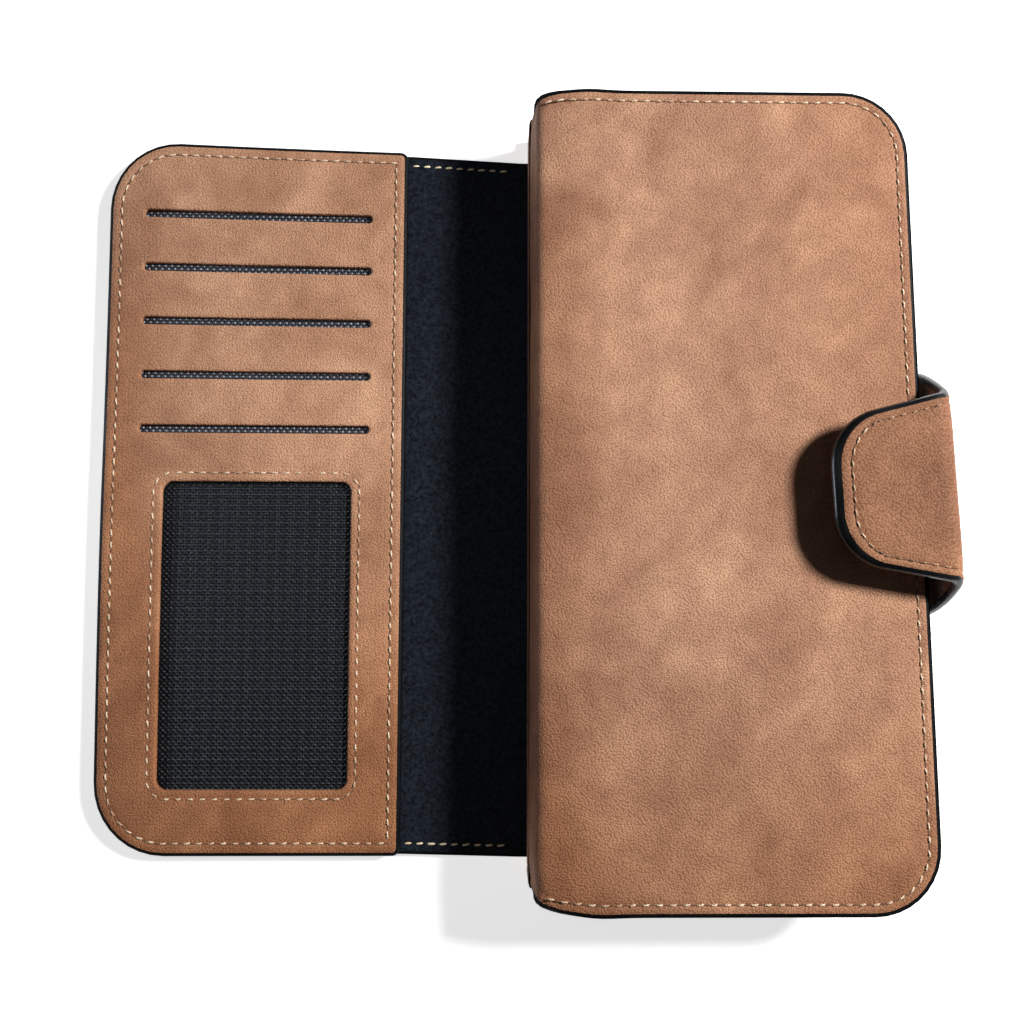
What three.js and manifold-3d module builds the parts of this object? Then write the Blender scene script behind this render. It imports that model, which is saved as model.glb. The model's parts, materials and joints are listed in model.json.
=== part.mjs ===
// Tri-fold wallet case for a phone: a padded back with a soft tray for the phone, a front leaf
// on a soft spine, a card wing on a wide fold strip, and a closing strap with a rounded tab.
// Millimetres, +Z up. The case lies on its back, open as far as the card wing: the leaf is shut
// over the tray, the wing lies flat to the left and the strap's tab stands over the leaf.
// The origin is the centre of the back cover's resting face.

import * as THREE from 'three';
import { mergeVertices } from 'three/addons/utils/BufferGeometryUtils.js';
import Module from 'manifold-3d';

const wasm = await Module();
wasm.setup();

// Overall sizes.
const bodyWidth = 89;            // back and front leaf, left to right
const bodyHeight = 186;          // back and front leaf, bottom to top
const bodyCorner = 15;           // free corners of the back and the leaf
const spineCorner = 3;           // corners next to the spine
const wingWidth = 72.5;          // card wing, fold to free edge
const wingHeight = 172;          // card wing and fold strip, bottom to top
const wingCorner = 17;           // free corners of the card wing
const wingFoldCorner = 2;        // corners of the card wing next to its fold

// The phone and its tray.
const phoneWidth = 77.6;
const phoneHeight = 163;
const phoneThickness = 8.3;
const phoneCorner = 11;
const phoneClearance = 0.4;      // each side
const trayWall = 1.6;
const trayFloor = 1.5;
const trayLip = 1.6;             // wall standing above the phone
const cameraSize = 34;           // square window for the camera
const cameraCorner = 8;
const cameraInset = 8;           // window to the inside of the tray
const cameraMargin = 1;          // each layer of the back opens this much wider than the tray
const portWidth = 14;            // window for the charging plug
const portHeight = 6;
const keyLength = 30;            // window for the side keys
const keyHeight = 5;
const keyOffset = 22;            // key window's centre above the middle

// Layers.
const gap = 0.3;                 // between touching layers
const leatherThickness = 1.1;
const wingLeatherThickness = 1;
const boardThickness = 2;        // stiff board in the back
const leafBoardThickness = 1.4;
const wingBoardThickness = 1;
const liningThickness = 0.8;
const panelThickness = 0.9;      // leather of the card panel
const pocketThickness = 0.25;    // woven card pockets
const leafPocketThickness = 0.8;
const boardInset = 1.6;          // board and lining edges inside the leather's edge

// Folds.
const spineFoot = 6;             // height of the spine's lower fold
const spineHead = 1;             // spine's upper fold below the leaf's face
const stripSide = 1.6;           // strip's first fold outside the spine
const foldHeight = 1;            // height of the strip's two folds when it lies flat
const foldSlack = 0.6;           // folded wing above the leaf
const foldRelief = 1.5;          // stiff layers start this far from a fold
const leafRoom = 1.6;            // leaf's innermost pocket above the tray

// Card wing, measured from its free edge and from its top.
const slotCount = 5;
const slotLength = 55.2;
const slotWidth = 1.9;
const slotEdge = 8.8;
const slotTop = 17.6;
const slotPitch = 13.15;
const windowWidth = 45.7;
const windowHeight = 73.6;
const windowCorner = 2.5;
const windowEdge = 14.1;
const windowBottom = 15.4;
const meshMargin = 3;            // pocket mesh reaches this far beyond its opening
const plateLength = 26;          // steel plate that the strap's magnet holds
const plateWidth = 5;
const plateThickness = 0.6;
const plateEdge = 3.4;           // plate to the wing's free edge

// Pockets on the inside of the leaf.
const leafPocketCount = 3;
const leafPocketStep = 14;
const leafPocketTop = 96;        // tallest pocket's top above the leaf's lower edge
const leafPocketInset = 4;

// Closing strap.
const strapBaseWidth = 60;       // where it leaves the back
const strapFoldWidth = 42;       // where it bends over the leaf
const strapCurve = 2.2;          // above 1, the strap narrows mostly near its upper fold
const tabTipWidth = 28;
const tabLength = 26.8;          // upper fold to tip
const tabCorner = 13;
const strapLayer = 0.9;
const strapCore = 0.6;
const strapTongue = 14;          // length held in the back
const strapSide = 2.3;           // strap's inner face outside the body
const tabClearance = 0.4;        // tab above the folded wing
const magnetRadius = 8;
const magnetThickness = 1.2;
const magnetSpread = 50;         // between the two magnets
const trayPlateWidth = 44;
const trayPlateHeight = 80;
const trayPlateThickness = 0.5;
const trayPlateDrop = 20;        // plate and magnets below the middle

const curveSteps = 4;            // half of the steps round a corner

// Heights and places that follow from the sizes above.
const left = -bodyWidth / 2;
const right = bodyWidth / 2;
const boardBottom = leatherThickness + gap;
const boardTop = boardBottom + boardThickness;
const backLiningBottom = boardTop + gap;
const trayBottom = backLiningBottom + liningThickness + gap;
const phoneBottom = trayBottom + trayFloor;
const trayTop = phoneBottom + phoneThickness + trayLip;
const bayWidth = phoneWidth + 2 * phoneClearance;
const bayHeight = phoneHeight + 2 * phoneClearance;
const cameraX = bayWidth / 2 - cameraInset - cameraSize / 2;
const cameraY = bayHeight / 2 - cameraInset - cameraSize / 2;

const leafPocketsTop = trayTop + leafRoom + leafPocketCount * (leafPocketThickness + gap) - gap;
const leafLiningTop = leafPocketsTop + gap + liningThickness;
const leafBoardTop = leafLiningTop + gap + leafBoardThickness;
const bodyTop = leafBoardTop + gap + leatherThickness;   // face of the front leaf
const spineTop = bodyTop - spineHead;

const wingBoardBottom = wingLeatherThickness + gap;
const lowPockets = wingBoardBottom + wingBoardThickness + gap;
const highPockets = lowPockets + pocketThickness + gap;
const panelBottom = highPockets + pocketThickness + gap;
const wingThickness = panelBottom + panelThickness;
const firstFold = left - stripSide;
const stripLength = bodyTop + foldSlack + wingThickness - 2 * foldHeight;
const secondFold = firstFold - stripLength;
const wingRight = secondFold - foldRelief;
const wingLeft = wingRight - wingWidth;
const wingTopEdge = wingHeight / 2;
const foldedWingTop = stripLength + 2 * foldHeight;

const strapInner = right + strapSide;
const strapFoldX = strapInner + strapLayer + gap / 2;
const tongueTop = boardTop;
const tongueBottom = tongueTop - strapLayer;
const tabBottom = foldedWingTop + tabClearance;
const tabCoreBottom = tabBottom + strapLayer + gap;
const tabLeatherBottom = tabCoreBottom + strapCore + gap;
const strapFoldZ = tabCoreBottom + strapCore / 2;

const model = new THREE.Group();
model.name = 'phone_case';

const finishes = {
  leather: { color: 0x9b7150, roughness: 0.62 },
  lining: { color: 0x0d0f13, roughness: 0.9 },
  mesh: { color: 0x22242a, roughness: 0.55 },
  board: { color: 0x8f8672, roughness: 0.9 },
  tray: { color: 0x15161a, roughness: 0.5 },
  steel: { color: 0xa9adb2, roughness: 0.35, metalness: 1 },
};

function addPiece(name, finish, geometry) {
  const mesh = new THREE.Mesh(geometry, new THREE.MeshStandardMaterial(finishes[finish]));
  mesh.name = name;
  model.add(mesh);
  return mesh;
}

// Outline of a rectangle with its own radius at each corner, counted from the lower left.
function roundedRect(x0, y0, x1, y1, radii) {
  const [r0, r1, r2, r3] = Array.isArray(radii) ? radii : [radii, radii, radii, radii];
  const shape = new THREE.Shape();
  shape.moveTo(x0 + r0, y0);
  shape.lineTo(x1 - r1, y0);
  shape.absarc(x1 - r1, y0 + r1, r1, -Math.PI / 2, 0, false);
  shape.lineTo(x1, y1 - r2);
  shape.absarc(x1 - r2, y1 - r2, r2, 0, Math.PI / 2, false);
  shape.lineTo(x0 + r3, y1);
  shape.absarc(x0 + r3, y1 - r3, r3, Math.PI / 2, Math.PI, false);
  shape.lineTo(x0, y0 + r0);
  shape.absarc(x0 + r0, y0 + r0, r0, Math.PI, Math.PI * 1.5, false);
  return shape;
}

// A flat layer: an outline raised from z by a thickness.
function layer(shape, z, thickness) {
  const geometry = new THREE.ExtrudeGeometry(shape, {
    depth: thickness,
    bevelEnabled: false,
    curveSegments: curveSteps,
  });
  return geometry.translate(0, 0, z);
}

function block(x0, y0, z0, x1, y1, z1) {
  const geometry = new THREE.BoxGeometry(x1 - x0, y1 - y0, z1 - z0);
  return geometry.translate((x0 + x1) / 2, (y0 + y1) / 2, (z0 + z1) / 2);
}

function disc(radius, x, y, z, thickness) {
  const geometry = new THREE.CylinderGeometry(radius, radius, thickness, 32);
  return geometry.rotateX(Math.PI / 2).translate(x, y, z + thickness / 2);
}

function toSolid(geometry) {
  const bare = geometry.clone();
  bare.deleteAttribute('normal');
  bare.deleteAttribute('uv');
  const merged = mergeVertices(bare, 1e-4);
  return new wasm.Manifold(new wasm.Mesh({
    numProp: 3,
    vertProperties: new Float32Array(merged.attributes.position.array),
    triVerts: new Uint32Array(merged.index.array),
  }));
}

function fromSolid(solid) {
  const mesh = solid.getMesh();
  const geometry = new THREE.BufferGeometry();
  geometry.setAttribute('position', new THREE.BufferAttribute(mesh.vertProperties, 3));
  geometry.setIndex(new THREE.BufferAttribute(mesh.triVerts, 1));
  geometry.computeVertexNormals();
  return geometry;
}

// Takes each tool away from a geometry.
function cut(geometry, ...tools) {
  let solid = toSolid(geometry);
  for (const tool of tools) {
    solid = solid.subtract(toSolid(tool));
  }
  return fromSolid(solid);
}

function join(first, second) {
  return fromSolid(toSolid(first).add(toSolid(second)));
}

// Outline of the back or the leaf, drawn in from its edge by an inset.
function bodyOutline(inset) {
  const free = bodyCorner - inset;
  const near = Math.max(spineCorner - inset, 0.5);
  const y = bodyHeight / 2 - inset;
  return roundedRect(left + inset, -y, right - inset, y, [near, free, free, near]);
}

function wingOutline(inset) {
  const free = wingCorner - inset;
  const near = Math.max(wingFoldCorner - inset, 0.5);
  const y = wingTopEdge - inset;
  return roundedRect(wingLeft + inset, -y, wingRight - inset, y, [free, near, near, free]);
}

function cameraWindow(margin, z, thickness) {
  const half = cameraSize / 2 + margin;
  const shape = roundedRect(cameraX - half, cameraY - half, cameraX + half, cameraY + half, cameraCorner);
  return layer(shape, z, thickness);
}

// A disc-shaped pocket or magnet in the back, above or below the plate's centre.
function magnetDisc(side, radius, z, thickness) {
  return disc(radius, 0, -trayPlateDrop + side * magnetSpread / 2, z, thickness);
}

// Half the strap's width at a share of the way from its base to its upper fold.
function strapHalfWidth(share) {
  const narrowing = Math.pow(share, strapCurve);
  return (strapBaseWidth + (strapFoldWidth - strapBaseWidth) * narrowing) / 2;
}

function tongueOutline(margin) {
  const half = strapBaseWidth / 2 + margin;
  return roundedRect(right - strapTongue - margin, -half, strapInner + 2 * strapLayer + gap, half, 0.5);
}

// The back: leather that turns up into the spine's foot, a board, a lining and the strap's tongue.
function buildBack() {
  const cover = layer(bodyOutline(0), 0, leatherThickness);
  const footY = bodyHeight / 2 - spineCorner;
  const foot = block(left, -footY, leatherThickness / 2, left + leatherThickness, footY, spineFoot - gap);
  const window = cameraWindow(cameraMargin, -1, leatherThickness + 2);
  addPiece('back_cover_leather', 'leather', cut(join(cover, foot), window));

  const board = layer(bodyOutline(boardInset), boardBottom, boardThickness);
  const tools = [
    cameraWindow(cameraMargin, 0, boardTop + 1),
    layer(tongueOutline(gap), tongueBottom - gap, boardThickness),
  ];
  for (const side of [-1, 1]) {
    const pocketZ = boardTop - magnetThickness - gap;
    tools.push(magnetDisc(side, magnetRadius + gap, pocketZ, boardThickness));
  }
  addPiece('back_board', 'board', cut(board, ...tools));
  for (const [side, name] of [[-1, 'back_magnet_lower'], [1, 'back_magnet_upper']]) {
    addPiece(name, 'steel', magnetDisc(side, magnetRadius, boardTop - magnetThickness, magnetThickness));
  }

  addPiece('strap_base', 'leather', layer(tongueOutline(0), tongueBottom, strapLayer));
  const lining = layer(bodyOutline(boardInset), backLiningBottom, liningThickness);
  addPiece('back_lining', 'lining', cut(lining, cameraWindow(cameraMargin, 0, trayBottom)));
}

// The soft tray that grips the phone, and the steel plate under its floor.
function buildTray() {
  const halfX = bayWidth / 2;
  const halfY = bayHeight / 2;
  const outer = roundedRect(-halfX - trayWall, -halfY - trayWall, halfX + trayWall, halfY + trayWall,
    phoneCorner + trayWall);
  const bay = roundedRect(-halfX, -halfY, halfX, halfY, phoneCorner);
  const plateX = trayPlateWidth / 2;
  const plateY = trayPlateHeight / 2;
  const seat = block(-plateX - gap, -trayPlateDrop - plateY - gap, trayBottom - 1,
    plateX + gap, -trayPlateDrop + plateY + gap, trayBottom + trayPlateThickness + gap);
  const portZ = phoneBottom + phoneThickness / 2;
  const port = block(-portWidth / 2, -halfY - 2 * trayWall, portZ - portHeight / 2,
    portWidth / 2, -halfY + trayWall, portZ + portHeight / 2);
  const keys = block(halfX - trayWall, keyOffset - keyLength / 2, portZ - keyHeight / 2,
    halfX + 2 * trayWall, keyOffset + keyLength / 2, portZ + keyHeight / 2);
  const tray = cut(
    layer(outer, trayBottom, trayTop - trayBottom),
    layer(bay, phoneBottom, trayTop),
    cameraWindow(0, 0, trayTop),
    seat,
    port,
    keys,
  );
  addPiece('phone_tray', 'tray', tray);
  addPiece('tray_plate', 'steel', block(-plateX, -trayPlateDrop - plateY, trayBottom,
    plateX, -trayPlateDrop + plateY, trayBottom + trayPlateThickness));
}

// The soft wall between the back and the leaf.
function buildSpine() {
  const y = bodyHeight / 2 - spineCorner;
  const outerX = left + leatherThickness;
  const liningX = outerX + gap;
  const z0 = spineFoot;
  const z1 = bodyTop - leatherThickness - gap;
  addPiece('spine_leather', 'leather', block(left, -y, z0, outerX, y, z1));
  addPiece('spine_lining', 'lining',
    block(liningX, -y + boardInset, z0, liningX + liningThickness, y - boardInset, spineTop - foldRelief));
}

// The front leaf, face up, with stepped card pockets on its inner side.
function buildLeaf() {
  addPiece('front_leaf_leather', 'leather',
    layer(bodyOutline(0), bodyTop - leatherThickness, leatherThickness));
  const y = bodyHeight / 2 - boardInset;
  const innerLeft = left + leatherThickness + 2 * gap + liningThickness + foldRelief;
  const corner = bodyCorner - boardInset;
  const stiff = roundedRect(innerLeft, -y, right - boardInset, y, [0.5, corner, corner, 0.5]);
  addPiece('front_leaf_board', 'board', layer(stiff, leafBoardTop - leafBoardThickness, leafBoardThickness));
  addPiece('front_leaf_lining', 'lining', layer(stiff, leafLiningTop - liningThickness, liningThickness));
  for (let i = 0; i < leafPocketCount; i += 1) {
    const inset = boardInset + leafPocketInset;
    const top = -bodyHeight / 2 + leafPocketTop - i * leafPocketStep;
    const radius = bodyCorner - inset;
    const outline = roundedRect(innerLeft + leafPocketInset, -bodyHeight / 2 + inset, right - inset, top,
      [0.5, radius, 0.5, 0.5]);
    const pocketTop = leafPocketsTop - i * (leafPocketThickness + gap);
    addPiece(`leaf_pocket_${i + 1}`, 'leather',
      layer(outline, pocketTop - leafPocketThickness, leafPocketThickness));
  }
}

// The wide strip between the back and the card wing: leather below, lining above.
function buildStrip() {
  const x0 = secondFold + gap / 2;
  const x1 = firstFold - gap / 2;
  addPiece('strip_leather', 'leather',
    block(x0, -wingTopEdge, 0, x1, wingTopEdge, wingLeatherThickness));
  const z0 = wingLeatherThickness + gap;
  addPiece('strip_lining', 'lining', block(x0, -wingTopEdge, z0, x1, wingTopEdge, z0 + liningThickness));
}

function slotY(index) {
  return wingTopEdge - slotTop - index * slotPitch;
}

function slotOutline(index) {
  const x0 = wingLeft + slotEdge;
  const y = slotY(index);
  return roundedRect(x0, y - slotWidth / 2, x0 + slotLength, y + slotWidth / 2, slotWidth / 2 - 0.01);
}

function windowOutline(margin) {
  const x0 = wingLeft + windowEdge;
  const y0 = -wingTopEdge + windowBottom;
  return roundedRect(x0 - margin, y0 - margin, x0 + windowWidth + margin, y0 + windowHeight + margin,
    windowCorner);
}

// The card wing: leather, board with a steel plate, woven pockets and the pierced card panel.
function buildWing() {
  addPiece('wing_leather', 'leather', layer(wingOutline(0), 0, wingLeatherThickness));
  const plateX0 = wingLeft + plateEdge;
  const seat = block(plateX0 - gap, -plateLength / 2 - gap, 0,
    plateX0 + plateWidth + gap, plateLength / 2 + gap, wingBoardBottom + wingBoardThickness + 1);
  const board = layer(wingOutline(boardInset), wingBoardBottom, wingBoardThickness);
  addPiece('wing_board', 'board', cut(board, seat));
  addPiece('wing_snap_plate', 'steel', block(plateX0, -plateLength / 2, wingBoardBottom,
    plateX0 + plateWidth, plateLength / 2, wingBoardBottom + plateThickness));

  const meshX0 = wingLeft + slotEdge - meshMargin;
  const meshX1 = meshX0 + slotLength + 2 * meshMargin;
  const meshTop = -wingTopEdge + windowBottom + windowHeight + meshMargin;
  for (let i = 0; i < slotCount; i += 1) {
    const top = slotY(i) + slotWidth / 2 + meshMargin / 2;
    const bottom = Math.max(top - 2 * slotPitch + gap, meshTop + gap);
    const z = i % 2 === 0 ? highPockets : lowPockets;
    const pocket = roundedRect(meshX0, bottom, meshX1, top, 0.5);
    addPiece(`card_pocket_${i + 1}`, 'mesh', layer(pocket, z, pocketThickness));
  }
  addPiece('id_window_mesh', 'mesh', layer(windowOutline(meshMargin), lowPockets, pocketThickness));

  const panel = wingOutline(0);
  for (let i = 0; i < slotCount; i += 1) {
    panel.holes.push(slotOutline(i));
  }
  panel.holes.push(windowOutline(0));
  addPiece('card_panel', 'leather', layer(panel, panelBottom, panelThickness));
}

// Outline of the strap's upright side, drawn with height along the shape's second axis.
function strapSideOutline(z0, z1) {
  const shape = new THREE.Shape();
  const steps = 12;
  const at = (i) => [strapHalfWidth(i / steps), z0 + (z1 - z0) * i / steps];
  shape.moveTo(-at(0)[0], at(0)[1]);
  for (let i = 0; i <= steps; i += 1) {
    shape.lineTo(at(i)[0], at(i)[1]);
  }
  for (let i = steps; i > 0; i -= 1) {
    shape.lineTo(-at(i)[0], at(i)[1]);
  }
  return shape;
}

function standingLayer(shape, x, thickness) {
  const geometry = layer(shape, 0, thickness);
  geometry.rotateX(Math.PI / 2).rotateZ(Math.PI / 2);
  return geometry.translate(x, 0, 0);
}

// Outline of the tab: it narrows towards a tip with two wide corners.
function tabOutline(inset, x1) {
  const tipX = strapFoldX - tabLength + inset;
  const rootHalf = strapFoldWidth / 2 - inset;
  const tipHalf = tabTipWidth / 2 - inset;
  const r = tabCorner - inset;
  const lean = Math.atan2(rootHalf - tipHalf, x1 - tipX);
  const cy = tipHalf - r + (r - r * Math.cos(lean)) + r * Math.sin(lean);
  const shape = new THREE.Shape();
  shape.moveTo(x1, -rootHalf);
  shape.lineTo(x1, rootHalf);
  shape.absarc(tipX + r, cy, r, Math.PI / 2 + lean, Math.PI, false);
  shape.absarc(tipX + r, -cy, r, Math.PI, Math.PI * 1.5 - lean, false);
  return shape;
}

// The closing strap: an upright side on the back's edge and a tab that bends over the leaf.
function buildStrap() {
  const sideBottom = tongueTop + gap;
  const sideTop = tabBottom - gap;
  const side = strapSideOutline(sideBottom, sideTop);
  addPiece('strap_side_lining', 'leather', standingLayer(side, strapInner, strapLayer));
  addPiece('strap_side_leather', 'leather',
    standingLayer(side, strapInner + strapLayer + gap, strapLayer));
  addPiece('strap_tab_lining', 'leather', layer(tabOutline(0, strapFoldX), tabBottom, strapLayer));
  addPiece('strap_tab_core', 'board', layer(tabOutline(boardInset, strapFoldX - foldRelief),
    tabCoreBottom, strapCore));
  addPiece('strap_tab_leather', 'leather', layer(tabOutline(0, strapFoldX), tabLeatherBottom, strapLayer));
}

buildBack();
buildTray();
buildSpine();
buildLeaf();
buildStrip();
buildWing();
buildStrap();

export default model;
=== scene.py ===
import json
import math
import bpy
import numpy as np
from mathutils import Matrix, Vector, geometry, noise


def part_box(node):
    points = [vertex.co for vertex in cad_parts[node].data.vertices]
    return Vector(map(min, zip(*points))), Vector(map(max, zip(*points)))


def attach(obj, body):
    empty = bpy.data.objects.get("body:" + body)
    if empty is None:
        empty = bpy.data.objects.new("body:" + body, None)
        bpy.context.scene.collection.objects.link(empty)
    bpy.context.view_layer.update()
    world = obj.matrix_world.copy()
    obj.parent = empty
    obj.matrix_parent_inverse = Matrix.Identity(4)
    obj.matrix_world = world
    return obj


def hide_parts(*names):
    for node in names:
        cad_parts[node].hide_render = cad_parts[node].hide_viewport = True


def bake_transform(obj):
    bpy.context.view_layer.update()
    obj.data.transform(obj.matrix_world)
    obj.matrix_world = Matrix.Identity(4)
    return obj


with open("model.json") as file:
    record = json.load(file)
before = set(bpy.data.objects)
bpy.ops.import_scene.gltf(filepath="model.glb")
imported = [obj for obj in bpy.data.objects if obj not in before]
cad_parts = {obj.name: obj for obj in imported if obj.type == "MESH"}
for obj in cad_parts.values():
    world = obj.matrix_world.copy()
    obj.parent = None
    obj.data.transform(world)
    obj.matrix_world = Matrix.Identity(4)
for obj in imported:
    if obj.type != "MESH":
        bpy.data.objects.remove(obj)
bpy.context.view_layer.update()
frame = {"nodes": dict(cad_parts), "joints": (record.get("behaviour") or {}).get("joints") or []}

print("frame loaded")


# shapes, worked out in millimetres and made in metres

def boxOf(node):
    # A frame node's low and high corners
    low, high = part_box(node)
    return [1000 * v for v in low], [1000 * v for v in high]


def jointPlace(name):
    # Where a joint's axis stands
    joint = [j for j in frame["joints"] if j["name"] == name][0]
    return [1000 * v for v in joint["pos_m"]]


def smooth(low, high, value):
    # Eases from 0 at low to 1 at high, and low may be the larger
    t = np.clip((np.asarray(value, float) - low) / (high - low), 0, 1)
    return t * t * (3 - 2 * t)


def roundedLoop(box, radii, inset=0.0, sides=(1, 1, 1, 1), steps=9, pitch=2.2):
    # A rounded rectangle's points, counter-clockwise. The inset draws in only the sides that are 1, of
    # left, bottom, right and top
    x0, y0, x1, y1 = box
    corners = [(x0, y0, 180), (x1, y0, 270), (x1, y1, 0), (x0, y1, 90)]
    joined = [(0, 1), (1, 2), (2, 3), (3, 0)]
    full = [(x0, y0), (x1, y0), (x1, y1), (x0, y1)]
    ix0, iy0 = x0 + inset * sides[0], y0 + inset * sides[1]
    ix1, iy1 = x1 - inset * sides[2], y1 - inset * sides[3]
    inner = [(ix0, iy0), (ix1, iy0), (ix1, iy1), (ix0, iy1)]
    flagged = [(sides[0] and sides[1]), (sides[1] and sides[2]), (sides[2] and sides[3]),
               (sides[3] and sides[0])]
    toward = [(1, 1), (-1, 1), (-1, -1), (1, -1)]
    arcs = []
    for i in range(4):
        r = max(radii[i] - inset * (1 if flagged[i] else 0), 0.02)
        cx, cy = inner[i][0] + toward[i][0] * r, inner[i][1] + toward[i][1] * r
        start = math.radians(corners[i][2])
        arcs.append([(cx + r * math.cos(start + math.pi / 2 * k / steps),
                      cy + r * math.sin(start + math.pi / 2 * k / steps)) for k in range(steps + 1)])
    points = []
    for i, j in joined:
        points += arcs[i]
        span = math.dist(full[i], full[j]) - radii[i] - radii[j]
        count = max(1, round(span / pitch))
        a, b = arcs[i][-1], arcs[j][0]
        for k in range(1, count):
            points.append((a[0] + (b[0] - a[0]) * k / count, a[1] + (b[1] - a[1]) * k / count))
    return np.array(points)


def insideLoop(points, loop):
    # Which of the points lie inside a closed loop
    x, y = points[:, 0][:, None], points[:, 1][:, None]
    ax, ay = loop[:, 0][None], loop[:, 1][None]
    bx, by = np.roll(ax, -1), np.roll(ay, -1)
    crosses = (ay > y) != (by > y)
    slope = np.where(by == ay, 1e-9, by - ay)
    hit = crosses & (x < (bx - ax) * (y - ay) / slope + ax)
    return hit.sum(1) % 2 == 1


def fillInside(loops, spacing):
    # Even triangles between an outline and the holes in it
    outline = loops[0]
    low, high = outline.min(0), outline.max(0)
    xs = np.arange(low[0] + spacing / 2, high[0], spacing)
    ys = np.arange(low[1] + spacing / 2, high[1], spacing)
    gridPoints = np.stack(np.meshgrid(xs, ys), -1).reshape(-1, 2)
    evenRow = np.round(gridPoints[:, 1] / spacing).astype(int) % 2 == 0
    gridPoints[:, 0] += np.where(evenRow, spacing / 4, -spacing / 4)
    keep = insideLoop(gridPoints, outline)
    for hole in loops[1:]:
        keep &= ~insideLoop(gridPoints, hole)
    gridPoints = gridPoints[keep]
    border = np.concatenate(loops)
    if len(gridPoints):
        near = np.full(len(gridPoints), 1e9)
        for part in np.array_split(border, max(1, len(border) // 200)):
            near = np.minimum(near, np.linalg.norm(gridPoints[:, None] - part[None], axis=2).min(1))
        gridPoints = gridPoints[near > spacing * 0.55]
    points = np.concatenate([border, gridPoints]) if len(gridPoints) else border
    edges, start = [], 0
    for loop in loops:
        edges += [(start + k, start + (k + 1) % len(loop)) for k in range(len(loop))]
        start += len(loop)
    made = geometry.delaunay_2d_cdt([Vector(p) for p in points], edges, [], 0, 1e-6)
    source = [ids[0] if ids else -1 for ids in made[3]]
    triangles = np.array([[source[k] for k in face] for face in made[2]])
    triangles = triangles[(triangles >= 0).all(1)]
    centres = points[triangles].mean(1)
    keep = insideLoop(centres, outline)
    for hole in loops[1:]:
        keep &= ~insideLoop(centres, hole)
    triangles = triangles[keep]
    a, b, c = points[triangles[:, 0]], points[triangles[:, 1]], points[triangles[:, 2]]
    turn = (b[:, 0] - a[:, 0]) * (c[:, 1] - a[:, 1]) - (b[:, 1] - a[:, 1]) * (c[:, 0] - a[:, 0])
    triangles[turn < 0] = triangles[turn < 0][:, ::-1]
    return gridPoints, triangles


def makeObject(name, points, faces, materials, restPoints=None, faceMaterials=None, sharp=50, tone=None):
    # A piece from points in millimetres. restPoint is where each point lies before the piece is bent, which
    # the materials follow, and tone is how far its leather colour is darkened: painted shade at the spine's
    # bend and wall, and plain darkening elsewhere
    mesh = bpy.data.meshes.new(name)
    points = np.asarray(points, float)
    mesh.from_pydata((points * 0.001).tolist(), [], faces)
    rest = np.asarray(points if restPoints is None else restPoints, float) * 0.001
    mesh.attributes.new("restPoint", "FLOAT_VECTOR", "POINT").data.foreach_set("vector", rest.ravel())
    if tone is not None:
        mesh.attributes.new("tone", "FLOAT", "POINT").data.foreach_set("value", np.asarray(tone, float))
    for material in materials:
        mesh.materials.append(material)
    if faceMaterials is not None:
        mesh.polygons.foreach_set("material_index", faceMaterials)
    mesh.shade_smooth()
    mesh.set_sharp_from_angle(angle=math.radians(sharp))
    obj = bpy.data.objects.new(name, mesh)
    bpy.context.scene.collection.objects.link(obj)
    return obj


def sheetObject(name, loopAt, rings, materials, spacing=2.4, holes=(), lift=None, place=None, restShift=0.0,
                tone=None):
    # A closed sheet between an outline and its holes. Each ring is (inset, height, painted), and they go
    # from the lower face round the edge to the upper face
    points, faces, paint = [], [], []

    def banded(loopAt, rings, sign):
        # Adds a border's rings and the bands between them, and gives its lowest and highest ring
        starts = []
        for inset, height, _ in rings:
            loop = loopAt(sign * inset)
            starts.append((len(points), loop))
            points.extend((x, y, height) for x, y in loop)
        for k in range(len(rings) - 1):
            a, b, n = starts[k][0], starts[k + 1][0], len(starts[k][1])
            for i in range(n):
                j = (i + 1) % n
                faces.append((a + i, a + j, b + j, b + i) if sign > 0 else (a + i, b + i, b + j, a + j))
                paint.append(1 if rings[k + 1][2] else 0)
        return starts[0], starts[-1]

    borders = [banded(loopAt, rings, 1)] + [banded(holeAt, holeRings, -1) for holeAt, holeRings in holes]
    for top in (False, True):
        ends = [border[1 if top else 0] for border in borders]
        inner, triangles = fillInside([loop for _, loop in ends], spacing if top else spacing * 1.6)
        height = rings[-1][1] if top else rings[0][1]
        index = np.concatenate([np.arange(start, start + len(loop)) for start, loop in ends]
                               + [np.arange(len(points), len(points) + len(inner))]).astype(int)
        points += [(x, y, height) for x, y in inner]
        for tri in index[triangles]:
            faces.append(tuple(int(v) for v in (tri if top else tri[::-1])))
            paint.append(0)
    flat = np.array(points)
    middle = (rings[0][1] + rings[-1][1]) / 2
    rest = flat.copy()
    rest[:, 0] += restShift
    if lift is not None:
        flat[:, 2] += np.where(flat[:, 2] > middle, lift(flat[:, 0], flat[:, 1]), 0)
    darkening = None if tone is None else tone(flat[:, 0], flat[:, 1])
    if place is not None:
        flat = place(flat[:, 0], flat[:, 1], flat[:, 2])
    return makeObject(name, flat, faces, materials, rest, paint, tone=darkening)


def roundRings(low, high, edge, inset, groove=None, grooveDepth=0.15, steps=4):
    # A painted sheet's rings: lower face, rounded painted edge, upper face and the groove that is sewn
    rings = [(inset + 0.5, low, False), (inset, low, False)]
    for k in range(1, steps + 1):
        a = math.pi / 2 * k / steps
        rings.append((inset * (1 - math.sin(a)), low + edge * (1 - math.cos(a)), True))
    for k in range(0, steps):
        a = math.pi / 2 * k / steps
        rings.append((inset * (1 - math.cos(a)), high - edge * (1 - math.sin(a)), True))
    rings.append((inset, high, True))
    rings.append((inset + 0.25, high + 0.1, False))
    if groove:
        for shift, share in ((-0.9, 0), (-0.45, 0.35), (0, 1), (0.45, 0.35), (0.9, 0)):
            rings.append((groove + shift, high + 0.12 - grooveDepth * share, False))
    return rings


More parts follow.
